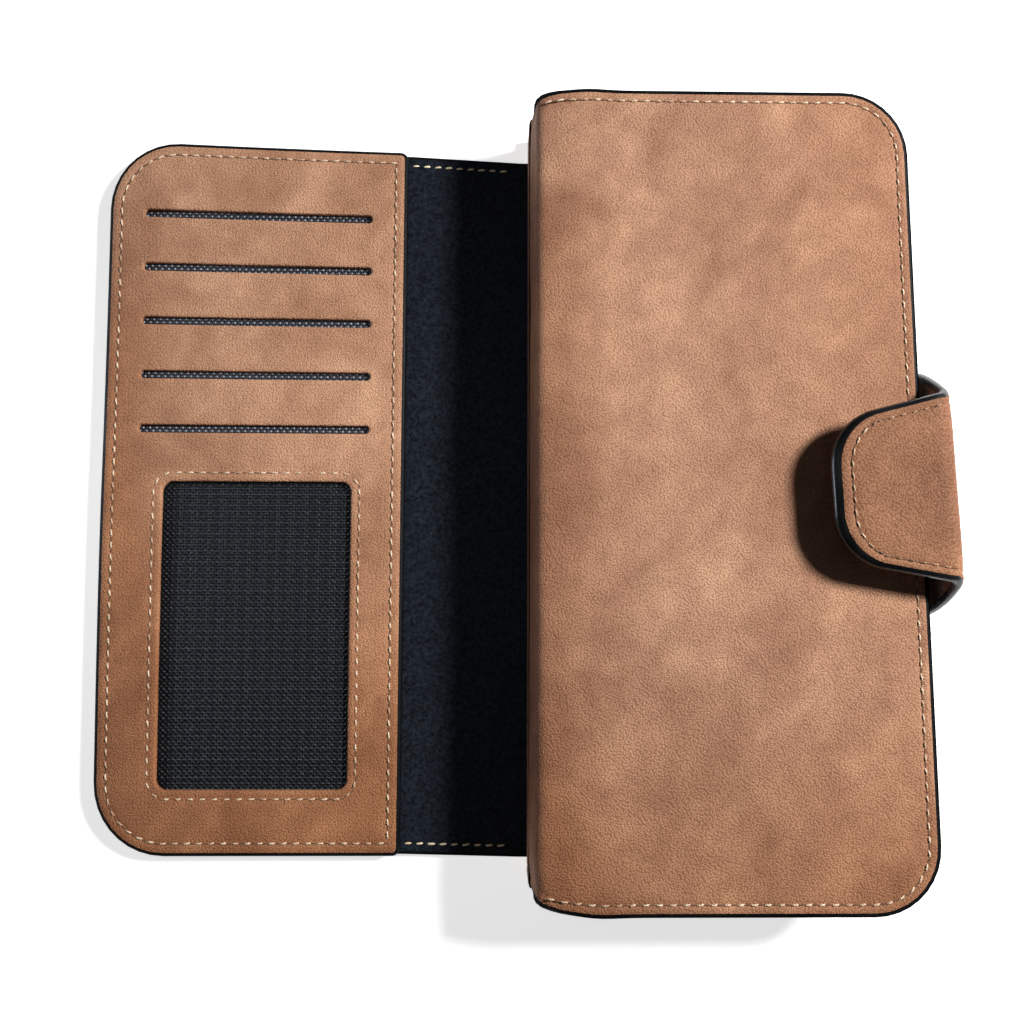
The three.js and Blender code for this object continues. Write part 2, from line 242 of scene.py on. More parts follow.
def pathMap(corners, radii):
    # Carries a flat sheet along straight runs with rounded corners, seen from the front. Heights stand to
    # the left of the way it goes
    line = []
    for i, (x, z) in enumerate(corners):
        if i == 0 or i == len(corners) - 1:
            line.append((x, z))
            continue
        here = Vector((x, z))
        back = (Vector(corners[i - 1]) - here).normalized()
        on = (Vector(corners[i + 1]) - here).normalized()
        half = back.angle(on) / 2
        reach = radii[i - 1] / math.tan(half)
        centre = here + (back + on).normalized() * (radii[i - 1] / math.sin(half))
        a, b = here + back * reach - centre, here + on * reach - centre
        turn = a.angle_signed(b)
        for k in range(25):
            t = -turn * k / 24
            line.append((centre.x + a.x * math.cos(t) - a.y * math.sin(t),
                         centre.y + a.x * math.sin(t) + a.y * math.cos(t)))
    line = np.array(line)
    lengths = np.concatenate([[0], np.cumsum(np.linalg.norm(np.diff(line, axis=0), axis=1))])
    total = lengths[-1]
    fine = np.linspace(0, total, max(200, int(total / 0.15)))
    xs, zs = np.interp(fine, lengths, line[:, 0]), np.interp(fine, lengths, line[:, 1])
    tx, tz = np.gradient(xs), np.gradient(zs)
    size = np.hypot(tx, tz)
    nx, nz = -tz / size, tx / size

    def place(u, v, t):
        u = np.asarray(u, float)
        return np.stack([np.interp(u, fine, xs) + np.interp(u, fine, nx) * t, np.asarray(v, float) + 0 * u,
                         np.interp(u, fine, zs) + np.interp(u, fine, nz) * t], -1)
    return place, total


def alongLoop(points, pitch, keep=None, closed=True):
    # Places and directions at an even pitch along a line of points
    line = np.concatenate([points, points[:1]]) if closed else np.asarray(points)
    lengths = np.concatenate([[0], np.cumsum(np.linalg.norm(np.diff(line, axis=0), axis=1))])
    count = max(2, round(lengths[-1] / pitch))
    at = (np.arange(count) + 0.5) * lengths[-1] / count
    x, y = np.interp(at, lengths, line[:, 0]), np.interp(at, lengths, line[:, 1])
    near = 0.3
    wayX = np.interp(at + near, lengths, line[:, 0]) - np.interp(at - near, lengths, line[:, 0])
    wayY = np.interp(at + near, lengths, line[:, 1]) - np.interp(at - near, lengths, line[:, 1])
    angles = np.arctan2(wayY, wayX)
    rows = np.stack([x, y, angles], -1)
    return rows if keep is None else rows[[bool(keep(r[0], r[1])) for r in rows]]


sewing = {
    "pitch": 2.9, "threadLength": 1.62, "threadWidth": 0.46,
    "slant": 8.0,  # degrees off the line
    "rise": 0.12, "sink": 0.16,  # of a thread's middle and of its ends
    "holeLength": 1.3, "holeWidth": 0.36,
}


def sewLine(name, rows, height, place, materials, body, seed=1, scale=1.0, blend=None):
    # Threads and needle holes along rows of (u, v, angle). Each thread arches out of its two holes
    rng = np.random.default_rng(seed)
    threadPoints, threadFaces, holePoints, holeFaces = [], [], [], []
    sides, along = 7, 7
    for u, v, angle in rows:
        lean = angle + math.radians(sewing["slant"] + rng.uniform(-5, 5))
        length = sewing["threadLength"] * scale * rng.uniform(0.9, 1.08)
        radius = sewing["threadWidth"] / 2 * scale * rng.uniform(0.92, 1.08)
        start = len(threadPoints)
        for i in range(along):
            s = i / (along - 1)
            taper = radius * (0.6 + 0.4 * math.sin(math.pi * s) ** 0.4)
            arch = (sewing["rise"] + sewing["sink"]) * math.sin(math.pi * s) ** 0.6
            rise = height - sewing["sink"] + arch
            du, dv = (s - 0.5) * length * math.cos(lean), (s - 0.5) * length * math.sin(lean)
            for k in range(sides):
                a = 2 * math.pi * k / sides
                across = taper * math.cos(a)
                threadPoints.append((u + du - across * math.sin(lean), v + dv + across * math.cos(lean),
                                     rise + taper * math.sin(a)))
        for i in range(along - 1):
            for k in range(sides):
                a, b = start + i * sides + k, start + i * sides + (k + 1) % sides
                threadFaces.append((a, b, b + sides, a + sides))
        threadFaces.append(tuple(range(start + sides - 1, start - 1, -1)))
        threadFaces.append(tuple(range(start + (along - 1) * sides, start + along * sides)))
        # each needle hole is a dark lens lying on the surface: painted shade of the hole
        gapU = u + sewing["pitch"] / 2 * math.cos(angle)
        gapV = v + sewing["pitch"] / 2 * math.sin(angle)
        start, count = len(holePoints), 10
        for level, share in ((-0.12, 1.0), (0.03, 1.0), (0.045, 0.6)):
            for k in range(count):
                a = 2 * math.pi * k / count
                p = sewing["holeLength"] / 2 * share * math.cos(a)
                q = sewing["holeWidth"] / 2 * share * math.sin(a)
                holePoints.append((gapU + p * math.cos(angle) - q * math.sin(angle),
                                   gapV + p * math.sin(angle) + q * math.cos(angle), height - 0.03 + level))
        for level in range(2):
            for k in range(count):
                a, b = start + level * count + k, start + level * count + (k + 1) % count
                holeFaces.append((a, b, b + count, a + count))
        holeFaces.append(tuple(range(start + count - 1, start - 1, -1)))
        holeFaces.append(tuple(range(start + 2 * count, start + 3 * count)))
    for suffix, points, faces, material, slotName in (
            ("Thread", threadPoints, threadFaces, materials[0], "thread"),
            ("Holes", holePoints, holeFaces, materials[1], "edge_paint")):
        flat = np.array(points)
        placed = place(flat[:, 0], flat[:, 1], flat[:, 2]) if place else flat
        obj = makeObject(name + suffix, placed, faces, [material], flat, sharp=70)
        if blend:
            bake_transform(obj)
        else:
            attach(obj, body)


# shader helpers and the effects that materials share

def newGroup(name, inputs, outputs):
    # A shader group with named sockets, and its two ends
    group = bpy.data.node_groups.new(name, "ShaderNodeTree")
    for label, kind, value in inputs:
        socket = group.interface.new_socket(label, in_out="INPUT", socket_type=kind)
        if value is not None:
            socket.default_value = value
    for label, kind in outputs:
        group.interface.new_socket(label, in_out="OUTPUT", socket_type=kind)
    return group, group.nodes.new("NodeGroupInput"), group.nodes.new("NodeGroupOutput")


def node(tree, kind, **settings):
    # A node whose sockets and settings are given by name
    made = tree.nodes.new(kind)
    for key, value in settings.items():
        if key in made.inputs:
            made.inputs[key].default_value = value
        else:
            setattr(made, key, value)
    return made


def scaled(tree, vector, amounts, turn=0.0):
    # Marks get smaller where the amounts are larger
    mapping = tree.nodes.new("ShaderNodeMapping")
    mapping.inputs["Scale"].default_value = amounts
    mapping.inputs["Rotation"].default_value = (0, 0, turn)
    tree.links.new(vector, mapping.inputs["Vector"])
    return mapping.outputs["Vector"]


def stretched(tree, vector, lengths, turn=0.0):
    # Marks get longer where the lengths are larger, along turned axes
    mapping = tree.nodes.new("ShaderNodeMapping")
    mapping.vector_type = "TEXTURE"
    mapping.inputs["Scale"].default_value = lengths
    mapping.inputs["Rotation"].default_value = (0, 0, turn)
    tree.links.new(vector, mapping.inputs["Vector"])
    return mapping.outputs["Vector"]


def maths(tree, operation, a, b=None, clamp=False):
    made = tree.nodes.new("ShaderNodeMath")
    made.operation = operation
    made.use_clamp = clamp
    for i, value in enumerate((a, b)):
        if value is None:
            continue
        if isinstance(value, (int, float)):
            made.inputs[i].default_value = value
        else:
            tree.links.new(value, made.inputs[i])
    return made.outputs[0]


def ranged(tree, value, fromLow, fromHigh, toLow=0.0, toHigh=1.0):
    made = tree.nodes.new("ShaderNodeMapRange")
    for label, number in zip(("From Min", "From Max", "To Min", "To Max"),
                             (fromLow, fromHigh, toLow, toHigh)):
        made.inputs[label].default_value = number
    tree.links.new(value, made.inputs["Value"])
    return made.outputs["Result"]


def mixColour(tree, factor, a, b, mode="MIX"):
    made = tree.nodes.new("ShaderNodeMix")
    made.data_type = "RGBA"
    made.blend_type = mode
    made.clamp_result = False
    names = {s.identifier: s for s in made.inputs}
    for key, value in (("Factor_Float", factor), ("A_Color", a), ("B_Color", b)):
        if isinstance(value, (int, float)):
            names[key].default_value = value
        elif isinstance(value, (tuple, list)):
            names[key].default_value = (*value, 1.0)
        else:
            tree.links.new(value, names[key])
    return [s for s in made.outputs if s.identifier == "Result_Color"][0]


def buildGrain():
    # Leather: the pebbles' height, a mask of the valleys between them, two sizes of cloudy mottling, and
    # fine creases
    group, enter, leave = newGroup("leatherGrain", [
        ("Vector", "NodeSocketVector", None), ("Pebble Size", "NodeSocketFloat", 0.85),
        ("Mottle Size", "NodeSocketFloat", 26.0), ("Weave", "NodeSocketFloat", 0.0)],
        [("Height", "NodeSocketFloat"), ("Valley", "NodeSocketFloat"), ("Mottle", "NodeSocketFloat"),
         ("Patch", "NodeSocketFloat"), ("Crease", "NodeSocketFloat")])
    links = group.links
    inMillimetres = group.nodes.new("ShaderNodeVectorMath")
    inMillimetres.operation = "SCALE"
    inMillimetres.inputs["Scale"].default_value = 1000.0
    links.new(enter.outputs["Vector"], inMillimetres.inputs[0])
    base = inMillimetres.outputs[0]
    shrink = maths(group, "DIVIDE", 1.0, enter.outputs["Pebble Size"])
    pebbleSpace = group.nodes.new("ShaderNodeVectorMath")
    pebbleSpace.operation = "SCALE"
    links.new(stretched(group, base, (1.15, 0.92, 1.0), 0.5), pebbleSpace.inputs[0])
    links.new(shrink, pebbleSpace.inputs["Scale"])
    warp = node(group, "ShaderNodeTexNoise", Scale=0.55, Detail=2.0)
    links.new(pebbleSpace.outputs[0], warp.inputs["Vector"])
    warped = group.nodes.new("ShaderNodeVectorMath")
    warped.operation = "MULTIPLY_ADD"
    links.new(warp.outputs["Color"], warped.inputs[0])
    warped.inputs[1].default_value = (0.5, 0.5, 0.5)
    links.new(pebbleSpace.outputs[0], warped.inputs[2])
    cells = node(group, "ShaderNodeTexVoronoi", feature="SMOOTH_F1", voronoi_dimensions="2D", Scale=1.0,
                 Smoothness=0.06)
    links.new(warped.outputs[0], cells.inputs["Vector"])
    small = node(group, "ShaderNodeTexNoise", Scale=1.9, Detail=3.0, Roughness=0.6)
    links.new(pebbleSpace.outputs[0], small.inputs["Vector"])
    pebble = ranged(group, cells.outputs["Distance"], 0.1, 0.75, 1.0, 0.0)
    fine = ranged(group, small.outputs["Fac"], 0.3, 0.7)
    both = maths(group, "ADD", maths(group, "MULTIPLY", pebble, 0.88), maths(group, "MULTIPLY", fine, 0.12))
    waveA = node(group, "ShaderNodeTexWave", Scale=0.34, Distortion=1.4, Detail=1.0)
    waveA.bands_direction = "X"
    waveB = node(group, "ShaderNodeTexWave", Scale=0.34, Distortion=1.4, Detail=1.0)
    waveB.bands_direction = "Y"
    links.new(base, waveA.inputs["Vector"])
    links.new(base, waveB.inputs["Vector"])
    weave = maths(group, "MULTIPLY", waveA.outputs["Fac"], waveB.outputs["Fac"])
    woven = maths(group, "MULTIPLY", maths(group, "SUBTRACT", weave, 0.25), enter.outputs["Weave"])
    height = maths(group, "ADD", both, woven)
    links.new(height, leave.inputs["Height"])
    links.new(ranged(group, height, 0.72, 0.25), leave.inputs["Valley"])
    mottleSpace = group.nodes.new("ShaderNodeVectorMath")
    mottleSpace.operation = "SCALE"
    links.new(stretched(group, base, (1.0, 1.35, 1.0), -0.5), mottleSpace.inputs[0])
    links.new(maths(group, "DIVIDE", 1.0, enter.outputs["Mottle Size"]), mottleSpace.inputs["Scale"])
    broad = node(group, "ShaderNodeTexNoise", Scale=1.0, Detail=3.0, Roughness=0.55, Distortion=0.6)
    links.new(mottleSpace.outputs[0], broad.inputs["Vector"])
    links.new(ranged(group, broad.outputs["Fac"], 0.36, 0.64), leave.inputs["Mottle"])
    patch = node(group, "ShaderNodeTexNoise", Scale=2.6, Detail=2.0, Roughness=0.5, Distortion=0.3)
    links.new(mottleSpace.outputs[0], patch.inputs["Vector"])
    links.new(ranged(group, patch.outputs["Fac"], 0.35, 0.65), leave.inputs["Patch"])
    creaseSpace = stretched(group, base, (7.0, 0.32, 1.0), -0.75)
    lines = node(group, "ShaderNodeTexNoise", Scale=1.0, Detail=1.0, Distortion=0.4)
    links.new(creaseSpace, lines.inputs["Vector"])
    where = node(group, "ShaderNodeTexNoise", Scale=0.05, Detail=1.0)
    links.new(base, where.inputs["Vector"])
    thin = ranged(group, lines.outputs["Fac"], 0.66, 0.74)
    links.new(maths(group, "MULTIPLY", thin, ranged(group, where.outputs["Fac"], 0.45, 0.6)),
              leave.inputs["Crease"])
    return group


def buildBasket():
    # Basket weave: over-and-under strands, as a height and a mask of the strands' crowns
    group, enter, leave = newGroup("basketWeave", [
        ("Vector", "NodeSocketVector", None), ("Pitch", "NodeSocketFloat", 1.0)],
        [("Height", "NodeSocketFloat"), ("Crown", "NodeSocketFloat")])
    links = group.links
    space = group.nodes.new("ShaderNodeVectorMath")
    space.operation = "SCALE"
    links.new(enter.outputs["Vector"], space.inputs[0])
    links.new(maths(group, "DIVIDE", 1000 * math.pi, enter.outputs["Pitch"]), space.inputs["Scale"])
    split = group.nodes.new("ShaderNodeSeparateXYZ")
    links.new(space.outputs[0], split.inputs[0])
    waveX = maths(group, "SINE", split.outputs["X"])
    waveY = maths(group, "SINE", split.outputs["Y"])
    product = maths(group, "MULTIPLY", waveX, waveY)
    crown = maths(group, "ABSOLUTE", product)
    lifted = maths(group, "ADD", crown, maths(group, "MULTIPLY", product, 0.5))
    links.new(lifted, leave.inputs["Height"])
    links.new(ranged(group, lifted, 0.5, 1.2), leave.inputs["Crown"])
    return group


grainGroup = buildGrain()
basketGroup = buildBasket()


def newMaterial(name):
    material = bpy.data.materials.new(name)
    material.use_nodes = True
    tree = material.node_tree
    return material, tree, tree.nodes["Principled BSDF"]


def restVector(tree, useRest):
    if useRest:
        attribute = tree.nodes.new("ShaderNodeAttribute")
        attribute.attribute_name = "restPoint"
        return attribute.outputs["Vector"]
    return tree.nodes.new("ShaderNodeTexCoord").outputs["Object"]


def bumped(tree, shader, height, strength, distance, under=None):
    bump = tree.nodes.new("ShaderNodeBump")
    bump.inputs["Strength"].default_value = strength
    bump.inputs["Distance"].default_value = distance
    tree.links.new(height, bump.inputs["Height"])
    if under is not None:
        tree.links.new(under, bump.inputs["Normal"])
    tree.links.new(bump.outputs["Normal"], shader.inputs["Normal"])
    return bump.outputs["Normal"]


leatherLook = {
    "dark": (0.335, 0.168, 0.096), "light": (0.560, 0.318, 0.196), "patch": (0.385, 0.192, 0.122),
    "darkening": (0.74, 0.59, 0.44),  # what tone multiplies the colour by: painted shade at the spine, darkening elsewhere
    "pebble": 0.47, "mottle": 24.0,  # sizes of a pebble and of a cloudy patch
    "valleyShade": 0.17,  # painted shade: how much darker it is between pebbles
    "weave": 0.0,  # how much of a cloth's print shows
    "roughness": 0.64, "bump": 0.85,
}


def leatherMaterial(name, look=None):
    values = dict(leatherLook, **(look or {}))
    material, tree, shader = newMaterial(name)
    grain = tree.nodes.new("ShaderNodeGroup")
    grain.node_tree = grainGroup
    tree.links.new(restVector(tree, True), grain.inputs["Vector"])
    grain.inputs["Pebble Size"].default_value = values["pebble"]
    grain.inputs["Mottle Size"].default_value = values["mottle"]
    grain.inputs["Weave"].default_value = values["weave"]
    colour = mixColour(tree, grain.outputs["Mottle"], values["dark"], values["light"])
    colour = mixColour(tree, maths(tree, "MULTIPLY", grain.outputs["Patch"], 0.6), colour, values["patch"])
    # painted shade in the valleys between pebbles and painted light on their crowns
    valleyShadeColour = tuple(c * (1 - values["valleyShade"]) for c in (1.0, 0.96, 0.92))
    shade = mixColour(tree, grain.outputs["Valley"], (1.08, 1.08, 1.08), valleyShadeColour)
    colour = mixColour(tree, 1.0, colour, shade, "MULTIPLY")
    speckle = node(tree, "ShaderNodeTexNoise", Scale=2600.0, Detail=2.0)
    tree.links.new(restVector(tree, True), speckle.inputs["Vector"])
    freckles = mixColour(tree, ranged(tree, speckle.outputs["Fac"], 0.3, 0.7),
                         (0.86, 0.84, 0.82), (1.14, 1.15, 1.16))
    colour = mixColour(tree, 1.0, colour, freckles, "MULTIPLY")
    cloud = node(tree, "ShaderNodeTexNoise", Scale=170.0, Detail=4.0, Roughness=0.65)
    tree.links.new(restVector(tree, True), cloud.inputs["Vector"])
    clouds = mixColour(tree, ranged(tree, cloud.outputs["Fac"], 0.35, 0.65),
                       (0.91, 0.88, 0.86), (1.08, 1.09, 1.10))
    colour = mixColour(tree, 1.0, colour, clouds, "MULTIPLY")
    colour = mixColour(tree, maths(tree, "MULTIPLY", grain.outputs["Crease"], 0.22), colour,
                       (0.16, 0.075, 0.045))
    # tone darkens the colour: painted shade on the spine's bend and wall, plain darkening in other areas
    tone = tree.nodes.new("ShaderNodeAttribute")
    tone.attribute_name = "tone"
    colour = mixColour(tree, tone.outputs["Fac"], colour,
                       mixColour(tree, 1.0, colour, values["darkening"], "MULTIPLY"))
    tree.links.new(colour, shader.inputs["Base Color"])
    matt = ranged(tree, grain.outputs["Valley"], 0, 1, values["roughness"] - 0.05, values["roughness"] + 0.15)
    tree.links.new(matt, shader.inputs["Roughness"])
    shader.inputs["Specular IOR Level"].default_value = 0.25
    height = maths(tree, "SUBTRACT", grain.outputs["Height"],
                   maths(tree, "MULTIPLY", grain.outputs["Crease"], 0.3))
    bumped(tree, shader, height, values["bump"], 0.00014)
    return material


def liningMaterial():
    material, tree, shader = newMaterial("blackMicrofibre")
    vector = restVector(tree, True)
    fuzz = node(tree, "ShaderNodeTexNoise", Scale=1100.0, Detail=5.0, Roughness=0.75)
    tree.links.new(vector, fuzz.inputs["Vector"])
    nap = node(tree, "ShaderNodeTexNoise", Scale=60.0, Detail=2.0)
    tree.links.new(vector, nap.inputs["Vector"])
    specks = node(tree, "ShaderNodeTexVoronoi", Scale=700.0)
    tree.links.new(vector, specks.inputs["Vector"])
    base = mixColour(tree, ranged(tree, fuzz.outputs["Fac"], 0.38, 0.68), (0.0005, 0.0008, 0.0016),
                     (0.020, 0.027, 0.041))
    base = mixColour(tree, ranged(tree, nap.outputs["Fac"], 0.35, 0.7, 0, 0.25), base,
                     (0.004, 0.006, 0.013))
    base = mixColour(tree, ranged(tree, specks.outputs["Distance"], 0.07, 0.03, 0, 0.5), base,
                     (0.03, 0.034, 0.045))
    tree.links.new(base, shader.inputs["Base Color"])
    shader.inputs["Roughness"].default_value = 0.95
    shader.inputs["Specular IOR Level"].default_value = 0.15
    shader.inputs["Sheen Weight"].default_value = 0.08
    shader.inputs["Sheen Roughness"].default_value = 0.4
    bumped(tree, shader, fuzz.outputs["Fac"], 0.8, 0.0002)
    return material


def edgeMaterial(name, shine, smoothest):
    material, tree, shader = newMaterial(name)
    vector = restVector(tree, True)
    ripple = node(tree, "ShaderNodeTexNoise", Scale=420.0, Detail=3.0)
    tree.links.new(vector, ripple.inputs["Vector"])
    worn = node(tree, "ShaderNodeTexNoise", Scale=90.0, Detail=4.0)
    tree.links.new(vector, worn.inputs["Vector"])
    colour = mixColour(tree, ranged(tree, worn.outputs["Fac"], 0.45, 0.75), (0.0025, 0.0028, 0.0035),
                       (0.007, 0.0075, 0.009))
    tree.links.new(colour, shader.inputs["Base Color"])
    tree.links.new(ranged(tree, worn.outputs["Fac"], 0.3, 0.75, smoothest, smoothest + 0.2),
                   shader.inputs["Roughness"])
    shader.inputs["Specular IOR Level"].default_value = shine
    bumped(tree, shader, ripple.outputs["Fac"], 0.35, 0.00015)
    return material


def threadMaterial(name, dark, light):
    material, tree, shader = newMaterial(name)
    vector = restVector(tree, True)
    twist = node(tree, "ShaderNodeTexWave", Scale=900.0, Distortion=2.0)
    twist.bands_direction = "DIAGONAL"
    tree.links.new(vector, twist.inputs["Vector"])
    vary = node(tree, "ShaderNodeTexNoise", Scale=170.0, Detail=2.0)
    tree.links.new(vector, vary.inputs["Vector"])
    colour = mixColour(tree, ranged(tree, vary.outputs["Fac"], 0.36, 0.56), dark, light)
    colour = mixColour(tree, ranged(tree, twist.outputs["Fac"], 0.0, 0.5, 0.35, 0.0), colour,
                       (0.35, 0.22, 0.12))
    tree.links.new(colour, shader.inputs["Base Color"])
    shader.inputs["Roughness"].default_value = 0.55
    shader.inputs["Sheen Weight"].default_value = 0.2
    bumped(tree, shader, twist.outputs["Fac"], 0.5, 0.0001)
    return material


def holeMaterial():
    # needle holes are dark lenses on the leather: painted shade of the holes
    material, tree, shader = newMaterial("needleHolePaintedShade")
    vary = node(tree, "ShaderNodeTexNoise", Scale=500.0, Detail=2.0)
    tree.links.new(restVector(tree, True), vary.inputs["Vector"])
    tree.links.new(mixColour(tree, vary.outputs["Fac"], (0.10, 0.040, 0.018), (0.20, 0.095, 0.048)),
                   shader.inputs["Base Color"])
    shader.inputs["Roughness"].default_value = 0.9
    return material


def meshMaterial(name, dark, light, pitch, useRest, turn=0.0):
    material, tree, shader = newMaterial(name)
    vector = restVector(tree, useRest)
    basket = tree.nodes.new("ShaderNodeGroup")
    basket.node_tree = basketGroup
    basket.inputs["Pitch"].default_value = pitch
    tree.links.new(scaled(tree, vector, (1.0, 1.0, 1.0), turn), basket.inputs["Vector"])
    vary = node(tree, "ShaderNodeTexNoise", Scale=240.0, Detail=3.0)
    tree.links.new(vector, vary.inputs["Vector"])
    # the strands' crowns take the light colour: painted highlight on black strands
    colour = mixColour(tree, basket.outputs["Crown"], dark, light)
    colour = mixColour(tree, ranged(tree, vary.outputs["Fac"], 0.3, 0.7, 0.45, 0.0), colour, dark)
    tree.links.new(colour, shader.inputs["Base Color"])
    shader.inputs["Roughness"].default_value = 0.5
    shader.inputs["Specular IOR Level"].default_value = 0.3
    bumped(tree, shader, basket.outputs["Height"], 0.9, 0.0003)
    return material


def trayMaterial():
    material, tree, shader = newMaterial("softBlackPlastic")
    vector = restVector(tree, False)
    pores = node(tree, "ShaderNodeTexNoise", Scale=1800.0, Detail=2.0)
    tree.links.new(vector, pores.inputs["Vector"])
    smudge = node(tree, "ShaderNodeTexNoise", Scale=70.0, Detail=4.0)
    tree.links.new(vector, smudge.inputs["Vector"])
    colour = mixColour(tree, smudge.outputs["Fac"], (0.006, 0.006, 0.007), (0.014, 0.014, 0.016))
    tree.links.new(colour, shader.inputs["Base Color"])
    tree.links.new(ranged(tree, smudge.outputs["Fac"], 0.3, 0.7, 0.38, 0.55), shader.inputs["Roughness"])
    bumped(tree, shader, pores.outputs["Fac"], 0.35, 0.0001)
    return material


def boardMaterial():
    material, tree, shader = newMaterial("greyFibreBoard")
    fibre = node(tree, "ShaderNodeTexNoise", Scale=900.0, Detail=5.0, Roughness=0.7)
    spaced = scaled(tree, restVector(tree, False), (1.0, 0.25, 1.0), 0.4)
    tree.links.new(spaced, fibre.inputs["Vector"])
    tree.links.new(mixColour(tree, fibre.outputs["Fac"], (0.09, 0.08, 0.065), (0.22, 0.2, 0.165)),
                   shader.inputs["Base Color"])
    shader.inputs["Roughness"].default_value = 0.95
    bumped(tree, shader, fibre.outputs["Fac"], 0.4, 0.0002)
    return material


def steelMaterial():
    material, tree, shader = newMaterial("plainSteel")
    brush = node(tree, "ShaderNodeTexNoise", Scale=600.0, Detail=4.0)
    spaced = scaled(tree, restVector(tree, False), (1.0, 0.03, 1.0))
    tree.links.new(spaced, brush.inputs["Vector"])
    tree.links.new(mixColour(tree, brush.outputs["Fac"], (0.36, 0.37, 0.39), (0.58, 0.59, 0.6)),
                   shader.inputs["Base Color"])
    shader.inputs["Metallic"].default_value = 1.0
    tree.links.new(ranged(tree, brush.outputs["Fac"], 0.3, 0.7, 0.25, 0.45), shader.inputs["Roughness"])
    return material


bodyLeather = leatherMaterial("tanLeather")
# The panel leather has a finer grain with a woven print; its colours are brighter than the body leather's,
# painted light that makes up for the key light falling off over the wing
panelLeather = leatherMaterial("tanPanelLeather", {
    "dark": (0.392, 0.197, 0.110), "light": (0.615, 0.345, 0.212), "patch": (0.456, 0.233, 0.136),
    "pebble": 0.43, "mottle": 20.0, "weave": 0.22})
strapLeather = leatherMaterial("tanStrapLeather", {
    "dark": (0.205, 0.086, 0.040), "light": (0.345, 0.160, 0.080), "patch": (0.25, 0.108, 0.053),
    "pebble": 0.50, "mottle": 16.0, "bump": 0.7})
lining = liningMaterial()
edgePaint = edgeMaterial("blackEdgePaint", 0.09, 0.45)
glossPaint = edgeMaterial("glossyEdgePaint", 0.42, 0.2)
thread = threadMaterial("creamThread", (0.46, 0.28, 0.17), (0.82, 0.65, 0.46))
# a brighter gold thread for the fold strip: gold colour, with painted light where the strip lies in the
# body's shadow
goldThreadPaintedLight = threadMaterial("goldThreadPaintedLight", (0.72, 0.48, 0.24), (1.0, 0.84, 0.56))
# a dark copy of the cream thread: painted shade on the tab's side stitches, where only the tip's stitches
# catch the light
paintedShadeThread = threadMaterial("paintedShadeThread", (0.10, 0.04, 0.018), (0.42, 0.24, 0.13))
holeShade = holeMaterial()
# the light colours of both weaves are painted highlight on the crowns of black strands
pocketMesh = meshMaterial("greyPocketMesh", (0.014, 0.015, 0.019), (0.42, 0.43, 0.52), 0.8, False)
windowPitch = 0.98
windowMesh = meshMaterial("blackWindowMesh", (0.0012, 0.0015, 0.0026), (0.0135, 0.0185, 0.034), windowPitch,
                          True, math.pi / 4)
trayPlastic = trayMaterial()
board = boardMaterial()
steel = steelMaterial()
sewn = [thread, holeShade]
print("materials made")


# hand-made parts are never quite square: small pulls of the leaf, the wing and the strap

pulls = {
    "leafSlant": 1.35, "leafLow": 1.1,
    "wingRise": 1.9, "wingNarrow": 1.4, "wingSpread": 0.68,
    "stripRise": 0.8, "stripSink": 0.7,
    "strapTurn": 2.4,  # degrees
}


def leafPull(points):
    x, y, z = points[..., 0], points[..., 1], points[..., 2]
    low, high = boxOf("front_leaf_leather")
    across = np.clip((x - low[0]) / (high[0] - low[0]), 0, 1)
    up = y / high[1]
    down = np.clip(-up, 0, 1)
    return np.stack([x - pulls["leafSlant"] * up * across,
                     y - pulls["leafLow"] * down * smooth(low[0] - 1, low[0] + 20, x), z], -1)


def wingPull(points):
    x, y, z = points[..., 0], points[..., 1], points[..., 2]
    low, high = boxOf("wing_leather")
    across = np.clip((high[0] - x) / (high[0] - low[0]), 0, 1)
    up, down = np.clip(y / high[1], 0, 1), np.clip(-y / high[1], 0, 1)
    spread = pulls["wingSpread"] * across ** 2 * up ** 2
    return np.stack([x + pulls["wingNarrow"] * across * down ** 1.5 - spread,
                     y + (pulls["stripRise"] + pulls["wingRise"] * across) * up ** 1.5 + 0.85 * spread,
                     z], -1)


def stripPull(points):
    x, y, z = points[..., 0], points[..., 1], points[..., 2]
    low, high = boxOf("strip_leather")
    away = np.clip((high[0] - x) / (high[0] - low[0]), 0, 1)
    up, down = np.clip(y / high[1], 0, 1), np.clip(-y / high[1], 0, 1)
    rise = pulls["stripRise"] * away - pulls["stripSink"] * (1 - away)
    return np.stack([x, y + rise * up - pulls["stripSink"] * (1 - away) * down, z], -1)


def pulled(place, pull):
    # A place with a pull after it
    def both(u, v, t):
        flat = np.stack([np.asarray(u, float), np.asarray(v, float), np.asarray(t, float)], -1)
        return pull(place(u, v, t) if place else flat)
    return both


# the card wing

wingStyle = {
    "overlap": 1.25,  # how far the panel reaches past its frame node, over the strip
    "corner": 17.0, "foldCorner": 2.0, "edge": 0.95, "stitch": 3.1, "rightStitch": 3.0,
    "slots": 5, "slotEdge": 8.7, "slotTop": 17.6, "slotPitch": 13.15, "slotLength": 56.2, "slotWidth": 1.9,
    "windowEdge": 15.0, "windowBottom": 15.4, "windowWidth": 45.7, "windowHeight": 73.6,
    "windowCorner": 2.5, "frameStitch": 2.1,
    "meshStep": 0.245, "meshTuck": 2.0,  # of the window's mesh, and how far it goes under the panel
}


def roughness(seed, size):
    # Gentle unevenness with humps of about the given size
    shift = Vector((seed * 13.1, seed * 7.7, seed * 3.3))

    def at(x, y):
        return np.array([noise.noise(Vector((a / size, b / size, 0)) + shift) for a, b in zip(x, y)])
    return at


